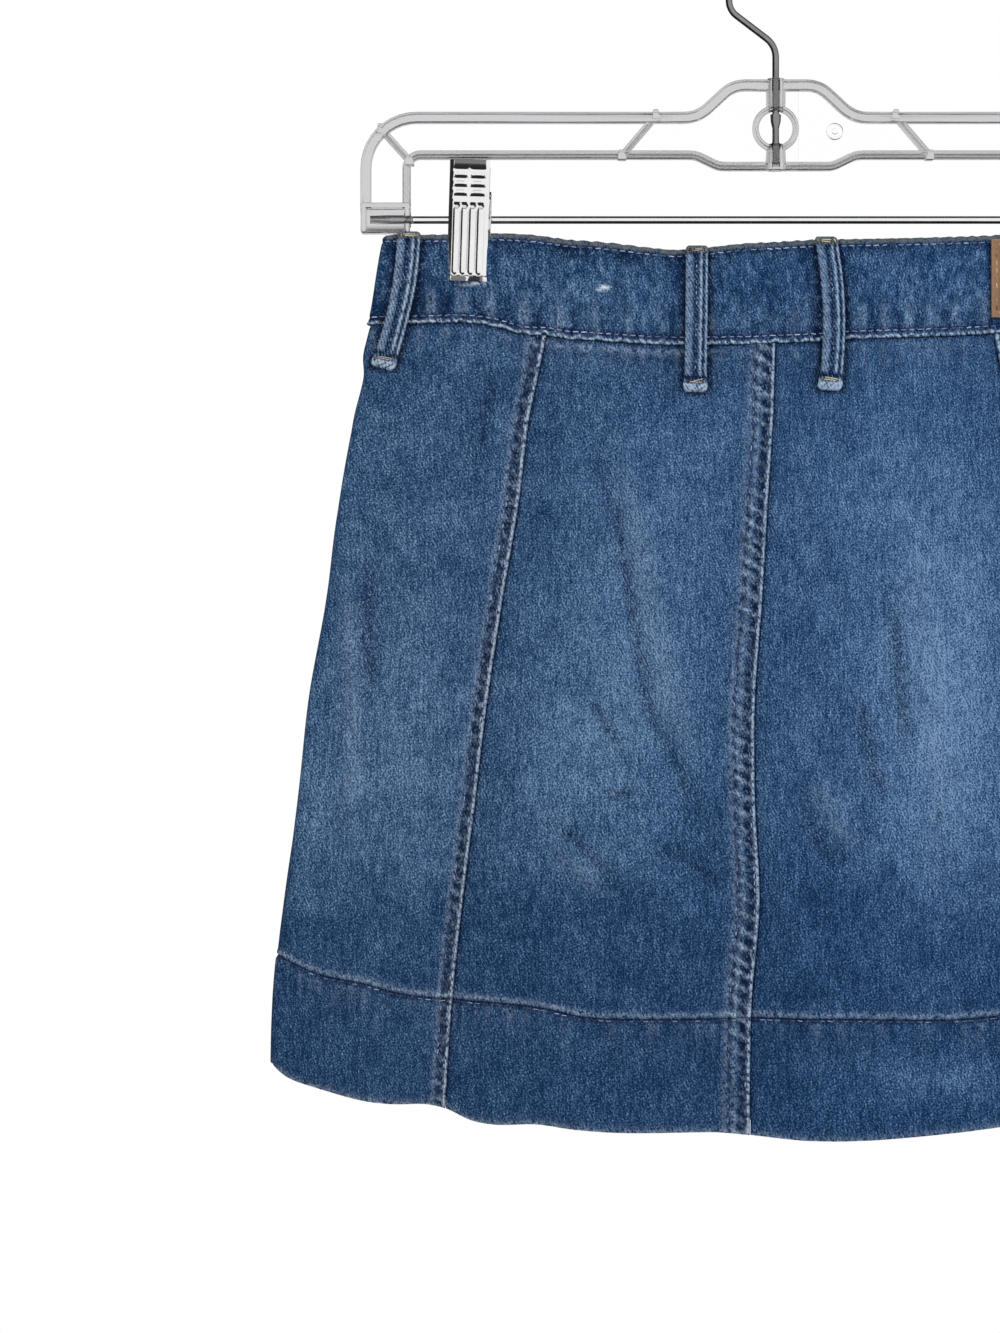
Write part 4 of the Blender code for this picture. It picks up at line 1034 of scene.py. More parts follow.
def stitch_points(places, outs, length, radius, seed, fill=0.76, tone=0.5):
    """Rows of separate stitches along a line of places, as arrays of points, faces and shades."""
    draw = np.random.default_rng(seed)
    steps = np.linalg.norm(np.diff(places, axis=0), axis=1)
    run = np.concatenate(((0.0,), np.cumsum(steps)))
    count = max(1, int(run[-1] / length))
    middle = (np.arange(count) + 0.5) * run[-1] / count

    def read(table, at):
        return np.stack([np.interp(at, run, table[:, k]) for k in range(3)], -1)

    half = 0.5 * fill * run[-1] / count * draw.uniform(0.88, 1.1, count)
    ends = [read(places, middle + side * half) for side in (-1, 1)]
    centre = read(places, middle)
    out = read(outs, middle)
    out /= np.linalg.norm(out, axis=1, keepdims=True)
    ahead = ends[1] - ends[0]
    ahead /= np.linalg.norm(ahead, axis=1, keepdims=True)
    side = np.cross(out, ahead)
    # The arrays run over stitches, rings along each, points round each ring, and X, Y, Z.
    centre, ahead, side, out = (each[:, None, None, :] for each in (centre, ahead, side, out))
    half, skew = (each[:, None, None, None] for each in (half, draw.normal(0, 0.09, count)))
    along, fat, sunk = STITCH_RINGS.T[:, None, :, None, None]
    around = (np.arange(RING) * 2 * math.pi / RING)[None, None, :, None]
    body = centre + ahead * half * along
    body = body + side * (radius * fat * np.cos(around) + skew * half * along)
    body = body + out * radius * (0.8 * fat * np.sin(around) + STITCH_LIFT - sunk)
    number = np.arange(RING * RING).reshape(RING, RING)
    beside = np.roll(number, -1, axis=1)
    sides = np.stack((number[:-1], beside[:-1], beside[1:], number[1:]), -1).reshape(-1, 4)
    a, b, c, d, e, f = range(RING)
    caps = np.array(((a, d, c, b), (a, f, e, d), (a, b, c, d), (a, d, e, f)))
    caps[2:] += RING * (RING - 1)
    one = np.concatenate((sides, caps))
    faces = (one[None] + RING * RING * np.arange(count)[:, None, None]).reshape(-1, 4)
    shade = np.repeat(held(draw.normal(tone, 0.22, count)), RING * RING)
    return body.reshape(-1, 3), faces, shade


def sew(name, rows, finish):
    """Joins rows of stitches into one piece."""
    points, faces, shades, number = [], [], [], 0
    for row_points, row_faces, row_shades in rows:
        points.append(row_points)
        faces.append(row_faces + number)
        shades.append(row_shades)
        number += len(row_points)
    piece = quads_piece(name, np.concatenate(points), np.concatenate(faces), finish)
    made = piece.data.attributes.new("shade", "FLOAT", "POINT")
    made.data.foreach_set("value", np.concatenate(shades).astype(np.float32))
    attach(piece, "root")


def level_row(cloth, start, end, name, away, length, radius, seed):
    """Stitches along a level edge, a distance below it (or above it when minus)."""
    count = int((length_at(end) - length_at(start)) / 0.001)
    stations = np.linspace(start, end, max(count, 8))
    below = edge(name, stations) + away
    return stitch_points(*cloth.place(stations, below), length, radius, seed)


def seam_row(cloth, seam, side, away, top, foot, length, radius, seed):
    """Stitches down beside an upright seam."""
    upper, lower = float(edge(cloth.upper, seam)) + top, float(edge(cloth.lower, seam)) - foot
    below = mix(upper, lower, np.linspace(0, 1, 400))
    stations = station_at(length_at(seam) + side * away / stretch(below))
    return stitch_points(*cloth.place(stations, below), length, radius, seed)


# ---- settings
def number_property(name, description, default, **more):
    return bpy.props.FloatProperty(name=name, description=description, default=default, **more)


def length_property(*named):
    return number_property(*named, subtype="DISTANCE", unit="LENGTH", precision=5)


def colour_property(name, description, default):
    return bpy.props.FloatVectorProperty(
        name=name, description=description, default=default, subtype="COLOR", size=3, min=0.0, max=1.0
    )


class ClothSettings(bpy.types.PropertyGroup):
    """Sizes and colours of the denim and its stitching."""

    column_step: length_property("Column step", "Widest spacing of the cloth's columns", 0.003)
    row_step: length_property("Row step", "Widest spacing of the cloth's rows", 0.0015)
    stitch: length_property("Stitch length", "Length of one topstitch and its gap", 0.0035)
    thread: length_property("Thread radius", "Radius of the topstitching thread", 0.00027)
    deep: colour_property("Unfaded", "Indigo where the cloth has kept its dye", (0.003, 0.019, 0.066))
    mid: colour_property("Washed", "The cloth's usual colour", (0.022, 0.063, 0.154))
    pale: colour_property("Faded", "Where the wash has faded it", (0.059, 0.123, 0.25))
    worn: colour_property("Bleached", "The palest weft", (0.215, 0.335, 0.53))
    fray: colour_property("Frayed", "Bare white threads at worn ends", (0.6, 0.64, 0.7))
    ridge: colour_property("Ridges", "Worn ridges at seams", (0.36, 0.45, 0.6))
    # The 'deep' marks lay this seam colour on. It is partly dye kept in seams and partly painted shade in
    # grooves, crease troughs, dips and beside the belt loops.
    seam: colour_property("Seam shade", "Dye kept in grooves at seams", (0.0034, 0.0118, 0.041))
    stain: colour_property("Thread stain", "Tint along the rows of stitches", (0.042, 0.034, 0.075))
    soil: colour_property("Soiled folds", "Grey fuzz on the folds at the top", (0.118, 0.132, 0.14))


class HangerSettings(bpy.types.PropertyGroup):
    """Sizes and colours of the hanger's metal and plastic."""

    wire: length_property("Wire radius", "Radius of the hook's wire", WIRE_RADIUS)
    rod: length_property("Rod radius", "Radius of the rod between the end blocks", ROD_RADIUS)
    edge: length_property("Moulded edge", "Rounding along the plastic's edges", 0.0009)
    plastic: colour_property("Plastic", "Tint of the clear plastic", (0.6, 0.6, 0.61))
    steel: colour_property("Steel", "Bright plated steel", (0.94, 0.94, 0.945))
    dark_steel: colour_property("Dark steel", "Duller streaks in the plated steel", (0.62, 0.62, 0.63))


class StageSettings(bpy.types.PropertyGroup):
    """The pale room round the skirt."""

    floor: length_property("Floor level", "Height of the floor", -1.15)
    backdrop: colour_property("Backdrop", "Colour of the room behind the skirt", (1.0, 1.0, 1.0))
    key: number_property("Key light", "Power of the key light", 14.0, unit="POWER")
    panel: number_property("Soft panel", "Brightness of the wide panel", 1.0)


# Threads: the material's name, and the colours of its darkest to its palest stitches.
THREADS = {
    "thread": ("faded_thread", (
        (0.0, (0.04, 0.07, 0.16)), (0.5, (0.21, 0.27, 0.46)), (1.0, (0.5, 0.57, 0.8)))),
    "seam_thread": ("dark_thread", (
        (0.0, (0.008, 0.014, 0.04)), (0.48, (0.034, 0.048, 0.11)), (1.0, (0.42, 0.5, 0.72)))),
    "loop_thread": ("grey_thread", (
        (0.0, (0.015, 0.035, 0.07)), (0.6, (0.08, 0.12, 0.19)), (1.0, (0.4, 0.46, 0.54)))),
    "patch_thread": ("tan_thread", (
        (0.0, (0.09, 0.035, 0.03)), (0.5, (0.42, 0.2, 0.09)), (1.0, (0.7, 0.5, 0.3)))),
    "orange_tack": ("orange_tack", (
        (0.0, (0.02, 0.018, 0.024)), (0.35, (0.09, 0.078, 0.08)), (0.7, (0.26, 0.23, 0.23)),
        (1.0, (0.56, 0.5, 0.48)))),
    "gold_tack": ("gold_tack", (
        (0.0, (0.03, 0.032, 0.02)), (0.35, (0.11, 0.105, 0.065)), (0.7, (0.42, 0.39, 0.27)),
        (1.0, (0.78, 0.76, 0.58)))),
}
# Metals: the material's name, its dark and bright tones, its roughness, the way its drawing lines
# run, and its tarnish.
METALS = {
    "button": ("antique_copper", (0.16, 0.08, 0.05), (0.55, 0.33, 0.21), 0.34, (300, 300, 300), 0.8),
    "wire": ("hook_wire", (0.1, 0.1, 0.105), (0.34, 0.34, 0.35), 0.24, (300, 300, 40), 0.5),
}
LEATHER = ((0.15, 0.07, 0.028), (0.29, 0.155, 0.075), (0.34, 0.22, 0.14))  # dark, light and rubbed
FINISHES = {}


def make_finish(name):
    cloth, hanger = bpy.context.scene.skirt_cloth, bpy.context.scene.skirt_hanger
    if name in THREADS:
        return thread_finish(*THREADS[name])
    if name in METALS:
        return metal_finish(*METALS[name])
    maker, *looks = {
        "denim": (denim_finish, "washed_denim", cloth),
        "waist_denim": (denim_finish, "waistband_denim", cloth, -0.055, 0.16, 1.0),
        "loop": (denim_finish, "loop_denim", cloth, -0.06, 0.3, 0.5, 0.25),
        "leather": (leather_finish, LEATHER),
        "steel": (metal_finish, "bright_plating", hanger.dark_steel, hanger.steel, 0.09, (40, 900, 40), 0.3),
        "plastic": (plastic_finish, "clear_moulding", hanger.plastic, 0.16),
        "web": (plastic_finish, "clear_web", (0.985, 0.99, 0.99), 0.0),
    }[name]
    return maker(*looks)


def finish_named(name):
    """A finish by name, made the first time it is asked for."""
    if name not in FINISHES:
        FINISHES[name] = make_finish(name)
    return FINISHES[name]


def deselect():
    bpy.ops.object.select_all(action="DESELECT")


def settle(piece, name, finish, nodes=()):
    """Names a finished piece, gives it its finish and hangs it on the frame."""
    piece.name = piece.data.name = name
    if finish:
        piece.data.materials.clear()
        piece.data.materials.append(finish_named(finish))
    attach(piece, "root")
    if nodes:
        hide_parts(*nodes)


def lay(cloth):
    """Builds a piece of cloth, puts it on the frame and works out the size and area of its cut."""
    sizes = bpy.context.scene.skirt_cloth
    finish = finish_named("waist_denim" if cloth.upper == "top" else "denim")
    coarser = 0.85 if cloth.upper == "top" else 1.6 if "front" in cloth.name else 1.0
    piece = cloth.build(finish, sizes.column_step * coarser, sizes.row_step * coarser)
    settle(piece, f"cloth_{cloth.name}", None, [cloth.name])
    size, area = cloth.flat()
    holders = ["clip_left_back_plate", "clip_right_back_plate"] if cloth.upper == "top" else ["waistband"]


# ---- operators
class SKIRT_OT_stage(bpy.types.Operator):
    """Sets the camera, soft studio lights, pale floor and pale surroundings"""

    bl_idname = "skirt.stage"
    bl_label = "Stage"

    def execute(self, context):
        scene, look = context.scene, context.scene.skirt_stage
        camera = bpy.data.cameras.new("view")
        camera.lens, camera.clip_end = 85.0, 50.0
        eye = bpy.data.objects.new("view", camera)
        eye.location, eye.rotation_euler = (-0.1185, -1.353, -0.3083), (math.radians(90), 0, 0)
        scene.collection.objects.link(eye)
        scene.camera = eye
        scene.view_settings.view_transform = "Standard"

        deselect()
        level = (0, 0, look.floor)
        bpy.ops.mesh.primitive_circle_add(vertices=96, radius=2.4, fill_type="NGON", location=level)
        floor = context.object
        floor.name = "floor"
        pale = Finish("pale_floor")
        cloud = pale.noise(pale.place(), 3.0, 3.0, 0.5, flat=False)
        pale.set(Base_Color=pale.blend(cloud, (0.8, 0.8, 0.8), (0.84, 0.84, 0.835)), Roughness=0.9)
        seen = pale.node("LightPath", {}, {})
        pale.set(Emission_Color=pale.blend(seen, (0.0, 0.0, 0.0), (1.0, 1.0, 1.0)), Emission_Strength=0.28)
        floor.data.materials.append(pale.material)
        floor.visible_glossy = False

        lights = (
            ("key", (-1.25, -1.55, 0.55), 1.1, look.key),
            ("fill", (1.35, -1.6, -0.1), 1.5, look.key * 0.42),
            ("top", (-0.1, -0.3, 1.4), 0.7, look.key * 0.4),
            ("rim", (1.6, 1.1, 0.0), 1.0, look.key * 0.5),
            ("behind", (-0.5, 1.9, 0.3), 1.5, look.key * 0.9),
        )
        for name, place, size, power in lights:
            light = bpy.data.lights.new(name, "AREA")
            light.shape, light.size, light.energy = "DISK", size, power
            lamp = bpy.data.objects.new(name, light)
            lamp.location, lamp.visible_glossy, lamp.visible_transmission = place, False, False
            aim = Vector((-0.05, 0, -0.3)) - Vector(place)
            lamp.rotation_euler = aim.to_track_quat("-Z", "Y").to_euler()
            scene.collection.objects.link(lamp)
        self.surroundings(scene, look)
        return {"FINISHED"}

    def surroundings(self, scene, look):
        """A wide soft panel in front and to the right, a pale wall behind, and dim elsewhere."""
        room = Finish("pale_room", "worlds")
        scene.world = room.material
        place = room.node("TexCoord", {}, {})
        x, y, z = (room.node("SeparateXYZ", {}, {0: place}, k) for k in range(3))
        panel = (x * 0.45 - y * 0.89).step(0.16, 0.44) * (1 - z.step(0.66, 0.86)) * z.step(-0.6, -0.46)
        through = room.node("LightPath", {}, {}, "Is Transmission Ray")
        level = z.step(-0.75, -0.3) * (1 - z.step(0.3, 0.75))
        tone = (panel * look.panel + y.step(0.9, 0.97) * 0.95 + through * level * 0.85 + 0.025).held()
        soft = room.node("Background", {}, {"Color": tone})
        shown = room.node("Background", {}, {"Color": (*look.backdrop, 1)})
        seen = room.node("LightPath", {}, {})
        both = room.node("MixShader", {}, {0: seen, 1: soft, 2: shown})
        room.feed(room.tree.nodes["World Output"].inputs["Surface"], both)


class SKIRT_OT_panels(bpy.types.Operator):
    """Hangs the six skirt panels with their lapped seams, creases and puckers"""

    bl_idname = "skirt.panels"
    bl_label = "Panels"

    def execute(self, context):
        for cloth in PANELS.values():
            lay(cloth)
        return {"FINISHED"}


class SKIRT_OT_hem_band(bpy.types.Operator):
    """Hangs the doubled hem band, cut in six pieces like the panels"""

    bl_idname = "skirt.hem_band"
    bl_label = "Hem band"

    def execute(self, context):
        for cloth in BANDS.values():
            lay(cloth)
        return {"FINISHED"}


class SKIRT_OT_waistband(bpy.types.Operator):
    """Lays the doubled waistband round the waist, with its ends lapped at the front"""

    bl_idname = "skirt.waistband"
    bl_label = "Waistband"

    def execute(self, context):
        lay(WAISTBAND)
        return {"FINISHED"}


class SKIRT_OT_topstitching(bpy.types.Operator):
    """Sews the rows of topstitching on the seams, waistband, hem band and fly"""

    bl_idname = "skirt.topstitching"
    bl_label = "Topstitching"

    def execute(self, context):
        sizes = context.scene.skirt_cloth
        length, radius = sizes.stitch, sizes.thread
        thread, dark = finish_named("thread"), finish_named("seam_thread")
        start, end = OVER_END + 0.012, 5.65
        waist = [
            level_row(WAISTBAND, start, end, "top", 0.0026, length, radius, 41),
            level_row(WAISTBAND, start, end, "waist", -WAIST_ROW, length, radius, 42),
            seam_row(WAISTBAND, OVER_END, 1, 0.0022, 0.003, 0.0042, length, radius, 43),
        ]
        sew("stitches_waistband", waist, thread)
        sew("stitches_seams", self.seams(length * 0.88, radius * 0.85), dark)
        hem = [
            level_row(cloth, cloth.start, cloth.end, "band", 0.0008, length * 0.9, radius * 0.85, 60 + k)
            for k, cloth in enumerate(BANDS.values())
        ]
        sew("stitches_hem_band", hem, dark)
        sew("stitches_fly", [self.fly(row, length, radius) for row in (0, 1)], thread)
        return {"FINISHED"}

    def seams(self, length, radius):
        """Two rows down each lapped seam, through the panels and then the hem band."""
        rows = []
        for lap in LAPS:
            for pieces, top in ((PANELS, 0.0008), (BANDS, 0.0022)):
                for cloth in pieces.values():
                    seam = cloth.end if lap.side < 0 else cloth.start
                    if meets(lap, seam):
                        for seed, away in enumerate(lap.rows, lap.seed * 10):
                            row = seam_row(cloth, seam, lap.side, away, top, 0.0012, length, radius, seed)
                            rows.append(row)
        return rows

    def fly(self, row, length, radius):
        """A row down the front beside the fly, curving in to the centre seam."""
        reach, straight, foot = 0.034 + row * 0.006, 0.115, 0.148 + row * 0.006
        turn = np.linspace(0, 1, 300)
        quarter = (turn - 0.6) / 0.4 * math.pi / 2
        drop = np.where(turn < 0.6, turn / 0.6 * straight, straight + (foot - straight) * np.sin(quarter))
        away = np.where(turn < 0.6, reach, reach * np.cos(quarter) + 0.002)
        below = float(edge("waist", CENTRE_FRONT)) + 0.001 + drop
        stations = station_at(length_at(CENTRE_FRONT) + away / stretch(below))
        return stitch_points(*PANELS["front_left"].place(stations, below), length, radius, 80 + row)


class SKIRT_OT_belt_loops(bpy.types.Operator):
    """Sews on the six belt loops with their folded edges, rows of stitches and bar tacks"""

    bl_idname = "skirt.belt_loops"
    bl_label = "Belt loops"

    columns = 26
    groove_wander = 0.012  # how far the loop's stitched groove wanders, as a share of its width
    grain_length, grain_shift = 0.065, 0.03  # the denim's grain on a loop, and its shift on the next

    def execute(self, context):
        stitches, tacks = [], {"orange": [], "gold": []}
        rows = spaced(0.0, 1.0, (0.0, 1.0, 0.05, 0.95), 0.005, 0.014, 0.03)
        across, share = np.meshgrid(np.linspace(0, 1, self.columns), rows, indexing="ij")
        for number, loop in enumerate(LOOPS):
            marks = self.marks(across, share, number)
            outer, _ = self.place(loop, across, share, LOOP_CLOTH + marks[OUT])
            tuck = rolled(np.minimum(across, 1 - across) * LOOP_WIDTH, 0.0006)
            inner, _ = self.place(loop, across, share, tuck)
            name = f"cloth_loop_{loop.name}"
            piece = wall_of_cloth(name, outer, inner, finish_named("loop"))
            values = readings(marks, 0.1 + 0.25 * billows(share * 5, across, number + 70))
            grain = across * LOOP_WIDTH + number * self.grain_shift, -share * self.grain_length
            dress(piece.data, *grain, values)
            settle(piece, name, None, [f"belt_loop_{loop.name}"])
            stitches.append(self.row(loop, number, 0.48))
            tacks["gold" if "side" in loop.name else loop.tack] += self.tack(loop, number, 0.03)
            tacks[loop.tack] += self.tack(loop, number, 0.928)
        sew("stitches_belt_loops", stitches, finish_named("loop_thread"))
        for colour, sewn in tacks.items():
            sew(f"bar_tacks_{colour}", sewn, finish_named(f"{colour}_tack"))
        return {"FINISHED"}

    def place(self, loop, across, share, lift):
        """Points on a loop: it stands off the waistband and is seated at both ends."""
        top = float(edge("top", station_of_x(np.array(loop.top_x), np.array(LOOP_TOP), loop.face))) - LOOP_CAP
        lean = (loop.middle_x - loop.foot_x) / (LOOP_LENGTH / 2) * rise(0.5, 0.9, share)
        below = mix(top, loop.foot_below, share) + (across - 0.5) * LOOP_WIDTH * lean
        fuller = 1 + 0.1 * rise(0.86, 0.955, share) + 0.06 * (1 - rise(0.04, 0.075, share))
        rounding = held((np.abs(share - 0.5) - 0.45) / 0.05)
        fuller = fuller * (1 - 0.26 * rounding**3)
        x = loop_middle(loop, share) + (across - 0.5) * LOOP_WIDTH * fuller
        station = station_of_x(x, below, loop.face)
        on_waistband = (below < edge("waist", station)) * (WAIST_PROUD + WAIST_CLEAR)
        stand = np.maximum(curve(*LOOP_STANDS.T, share), on_waistband)
        return surface(station, below, stand + lift)

    def marks(self, across, share, number):
        """A loop's folded profile: a flat half, a stitched groove and two raised edges."""
        marks = np.zeros((5, *across.shape))
        d = np.minimum(across, 1 - across) * LOOP_WIDTH
        ends = np.minimum(share, 1 - share) * LOOP_LENGTH
        at = across + self.groove_wander * uneven(share * 9, 90 + number)
        groove = 0.8 * swell(at, 0.455, 0.105) + swell(at, 0.8, 0.042)
        ridges = swell(at, 0.69, 0.05) + 0.92 * swell(at, 0.935, 0.042)
        pale = 0.62 * (1 - rise(0.2, 0.4, at))
        middle = plateau(0.035, 0.07, 0.87, 0.9, share)
        wrap, cuff = 1 - rise(0.042, 0.058, share), rise(0.935, 0.955, share)
        marks[OUT] += -rolled(d, 0.0007) * 0.8 - rolled(ends, 0.0012) - 0.00046 * groove * middle
        marks[OUT] += 0.00034 * ridges * middle + 0.00012 * uneven(share * 14 + across, 95 + number)
        marks[OUT] += 0.0005 * wrap + 0.0008 * cuff
        tied = swell(share, 0.905, 0.014)
        marks[OUT] -= 0.00045 * tied * plateau(0.0, 0.2, 0.8, 1.0, across)
        spots = held(uneven(across * 3.3 + share * 23, 120 + number)) * (cuff + wrap)
        marks[WEAR] += (0.95 * ridges + 0.5 * pale) * middle + 1.05 * cuff + 0.08 * wrap - 1.2 * spots
        marks[WEAR] += 0.35 * swell(d, 0.0006, 0.0007) * rise(0.9, 0.94, share)
        marks[SOIL] += 1.15 * wrap
        # Painted shade in the stitched groove (partly dye kept there), along the rolled left edge, just above
        # the lower bar tack and just below the top's wrap.
        marks[DYE_AND_SHADE] += (1.3 * groove + 0.5 * swell(at, 0.0, 0.03)) * middle
        marks[DYE_AND_SHADE] += 1.25 * swell(share, 0.903, 0.018) + 1.1 * swell(share, 0.058, 0.01) + 0.9 * spots
        return marks

    def row(self, loop, number, at):
        share = np.linspace(0.09, 0.85, 190)
        across = at - self.groove_wander * uneven(share * 9, 90 + number)
        lift = LOOP_CLOTH + self.marks(across, share, number)[OUT]
        return stitch_points(*self.place(loop, across, share, lift), 0.0022, 0.00022, 100 + number, fill=0.6)

    def tack(self, loop, number, at):
        """A bar tack: close zigzag stitches side by side across the loop, given dark tones as painted shade,
        and two long ones on top given pale tones as a painted highlight.
        """
        draw = np.random.default_rng(int(number * 10 + at * 5))
        rows, close, points = [], 24, 9
        line = np.linspace(-1, 1, points)
        for k in range(close + 2):
            if k < close:
                # The close stitches get a dark tone, which is painted shade.
                radius, stand, tone = 0.00022, 0.0001, 0.34
                share = at + line * draw.uniform(0.008, 0.012) + draw.normal(0, 0.0022)
                across = mix(0.14, 0.86, k / (close - 1)) + line * (0.02 if k % 2 else -0.02)
            else:
                # The long ones on top get a pale tone, which is a painted highlight.
                radius, stand, tone = 0.00016, 0.0004, 0.9
                ends = (0.3, 0.72) if at < 0.5 else (0.2, 0.8)
                across = np.linspace(*ends, points) + draw.normal(0, 0.03)
                share = at - 0.006 + 0.012 * (k - close) + line * draw.normal(0, 0.004)
            share = np.clip(share, 0.004, 0.996)
            lift = LOOP_CLOTH + self.marks(across, share, number)[OUT] + stand
            spots = self.place(loop, across, share, lift)
            rows.append(stitch_points(*spots, 1.0, radius, 300 + k + number * 30, fill=0.96, tone=tone))
        return rows


class SKIRT_OT_patch(bpy.types.Operator):
    """Sews the bare leather patch on the waistband"""

    bl_idname = "skirt.patch"
    bl_label = "Leather patch"

    inset = 0.0022  # from the patch's edge to its row of stitches

    def execute(self, context):
        sides = (spaced(0.0, size, (0.0, size), 0.0002, 0.0009, 0.0016) / size for size in PATCH_SIZE)
        u, v = np.meshgrid(*sides, indexing="ij")
        d = np.minimum(np.minimum(u, 1 - u) * PATCH_SIZE[0], np.minimum(v, 1 - v) * PATCH_SIZE[1])
        relief = -rolled(d, 0.0005) - 0.00022 * swell(d, self.inset, 0.0005)
        relief = relief + 0.00016 * billows(u * 2.2, v * 2.0, 7) - 0.00025 * swell(u + v * 0.2, 0.62, 0.1)
        corner = 0.0004 * swell(u, 0, 0.06) * swell(v, 1, 0.06)
        base = WAIST_PROUD + PATCH_CLEAR
        outer, _ = self.place(u, v, base + PATCH_LEATHER + relief + corner)
        inner, _ = self.place(u, v, base - 0.0002 + rolled(d, 0.0004) + corner)
        piece = wall_of_cloth("leather_patch_bare", outer, inner, finish_named("leather"))
        dress(piece.data, u, v, {"wear": np.exp(-d / 0.0007) + 0.35 * swell(d, self.inset, 0.0007)})
        settle(piece, "leather_patch_bare", None, ["leather_patch"])
        left, top = self.inset / PATCH_SIZE[0], self.inset / PATCH_SIZE[1]
        corners = ((left, top), (1 - left, top), (1 - left, 1 - top), (left, 1 - top), (left, top))
        rows = []
        for k, (a, b) in enumerate(zip(corners, corners[1:])):
            t = np.linspace(0.01, 0.99, 60)
            sunk = np.full(t.shape, base + PATCH_LEATHER - 0.00016)
            spots = self.place(mix(a[0], b[0], t), mix(a[1], b[1], t), sunk)
            rows.append(stitch_points(*spots, 0.0029, 0.00028, 130 + k))
        sew("stitches_patch", rows, finish_named("patch_thread"))
        return {"FINISHED"}

    def place(self, u, v, lift):
        below = mix(*PATCH_DEPTH, v)
        return surface(station_of_x(mix(*PATCH_X, u), below), below, lift)


# ---- hard pieces, shaped as by hand
def only(*pieces):
    """Leaves edit mode and selects just these pieces, the first of them active."""
    if bpy.context.mode != "OBJECT":
        bpy.ops.object.mode_set(mode="OBJECT")
    deselect()
    for piece in pieces:
        piece.select_set(True)
    bpy.context.view_layer.objects.active = pieces[0]
    return pieces[0]


def put_place_in_mesh():
    bpy.ops.object.transform_apply(location=True, rotation=True, scale=True)


def open_up():
    bpy.ops.object.mode_set(mode="EDIT")


def reopen():
    """Puts the chosen piece's place in its mesh and opens it for shaping."""
    put_place_in_mesh()
    open_up()


def pick_all():
    bpy.ops.mesh.select_all(action="SELECT")


def begin(kind, **how):
    """Adds a primitive with nothing else selected, and opens it for shaping."""
    deselect()
    getattr(bpy.ops.mesh, f"primitive_{kind}_add")(**how)
    piece = bpy.context.object
    reopen()
    return piece


def move(x, y, z):
    bpy.ops.transform.translate(value=(x, y, z))


def resize(x, y, z):
    bpy.ops.transform.resize(value=(x, y, z))


def pick(piece, kind, wanted):
    """Selects the vertices, edges or faces of an opened piece that fit."""
    bpy.ops.mesh.select_mode(type={"verts": "VERT", "edges": "EDGE", "faces": "FACE"}[kind])
    bpy.ops.mesh.select_all(action="DESELECT")
    form = bmesh.from_edit_mesh(piece.data)
    for part in getattr(form, kind):
        if wanted(part):
            part.select_set(True)
    form.select_flush_mode()
    bmesh.update_edit_mesh(piece.data)


def close_up(piece, smooth=35):
    """Ends the shaping with all faces outwards and the place in the mesh."""
    pick_all()
    bpy.ops.mesh.normals_make_consistent(inside=False)
    only(piece)
    put_place_in_mesh()
    bpy.ops.object.shade_smooth_by_angle(angle=math.radians(smooth))
    return piece


def modify(piece, kind, **settings):
    """Adds a modifier and applies it."""
    only(piece)
    step = piece.modifiers.new(kind.lower(), kind)
    for key, value in settings.items():
        setattr(step, key, value)
    bpy.ops.object.modifier_apply(modifier=step.name)
    return piece


def fuse(piece, others, operation="UNION"):
    """Moulds other shapes into a piece, or cuts them out of it."""
    for other in others:
        modify(piece, "BOOLEAN", object=other, operation=operation, solver="EXACT")
        bpy.data.objects.remove(other)
    return piece


def join(piece, others):
    """Makes separate parts one piece."""
    only(piece, *others)
    bpy.ops.object.join()
    return piece


def mirrored(corners):
    return (*corners, *(Corner(-x, z, bend) for x, z, bend in reversed(corners)))


def push(step, grow=None):
    """Draws the selected end out by a step, and may widen or narrow it."""
    bpy.ops.mesh.extrude_region_move(TRANSFORM_OT_translate={"value": tuple(step)})
    if grow:
        resize(*grow)


def follow(corners):
    """Draws the selected end along straight runs and round a bend at each corner."""
    points = [Vector((c.x, 0, c.z)) for c in corners]
    here = points[0]
    for before, target, after, corner in zip(points, points[1:], points[2:], corners[1:]):
        into, away = (target - before).normalized(), (after - target).normalized()
        turn = math.atan2(into.z * away.x - into.x * away.z, into.dot(away))
        short = corner.bend * math.tan(abs(turn) / 2)
        start = target - into * short
        inside = Vector((into.z, 0, -into.x)) * math.copysign(corner.bend, turn)
        push(start - here)
        steps = max(2, math.ceil(math.degrees(abs(turn)) / 9))
        bpy.ops.mesh.spin(steps=steps, angle=-turn, center=start + inside, axis=INTO_FRONT)
        here = target + away * short
    push(points[-1] - here)


def bar(corners, width, depth, soften, waist):
    """A bar drawn along corners, its section rounded and drawn in at the middle by two shares."""
    ahead = Vector((corners[1].x - corners[0].x, 0, corners[1].z - corners[0].z))
    piece = begin("plane", size=1)
    pick(piece, "edges", lambda e: abs(e.verts[0].co.y - e.verts[1].co.y) < 0.1)
    bpy.ops.mesh.subdivide(number_cuts=4)
    pick(piece, "verts", lambda v: abs(v.co.x) < 0.2)
    resize(*waist, 1)
    pick_all()
    resize(width, depth, 1)
    corner = Vector((width / 2, depth / 2))
    pick(piece, "verts", lambda v: (Vector((abs(v.co.x), abs(v.co.y))) - corner).length < 1e-6)
    bpy.ops.mesh.bevel(offset=soften, segments=3, affect="VERTICES")
    only(piece)
    piece.rotation_euler = (0, math.atan2(ahead.x, ahead.z), 0)
    piece.location = (corners[0].x, 0, corners[0].z)
    reopen()
    bpy.ops.mesh.select_mode(type="FACE")
    pick_all()
    follow(corners)
    return close_up(piece)


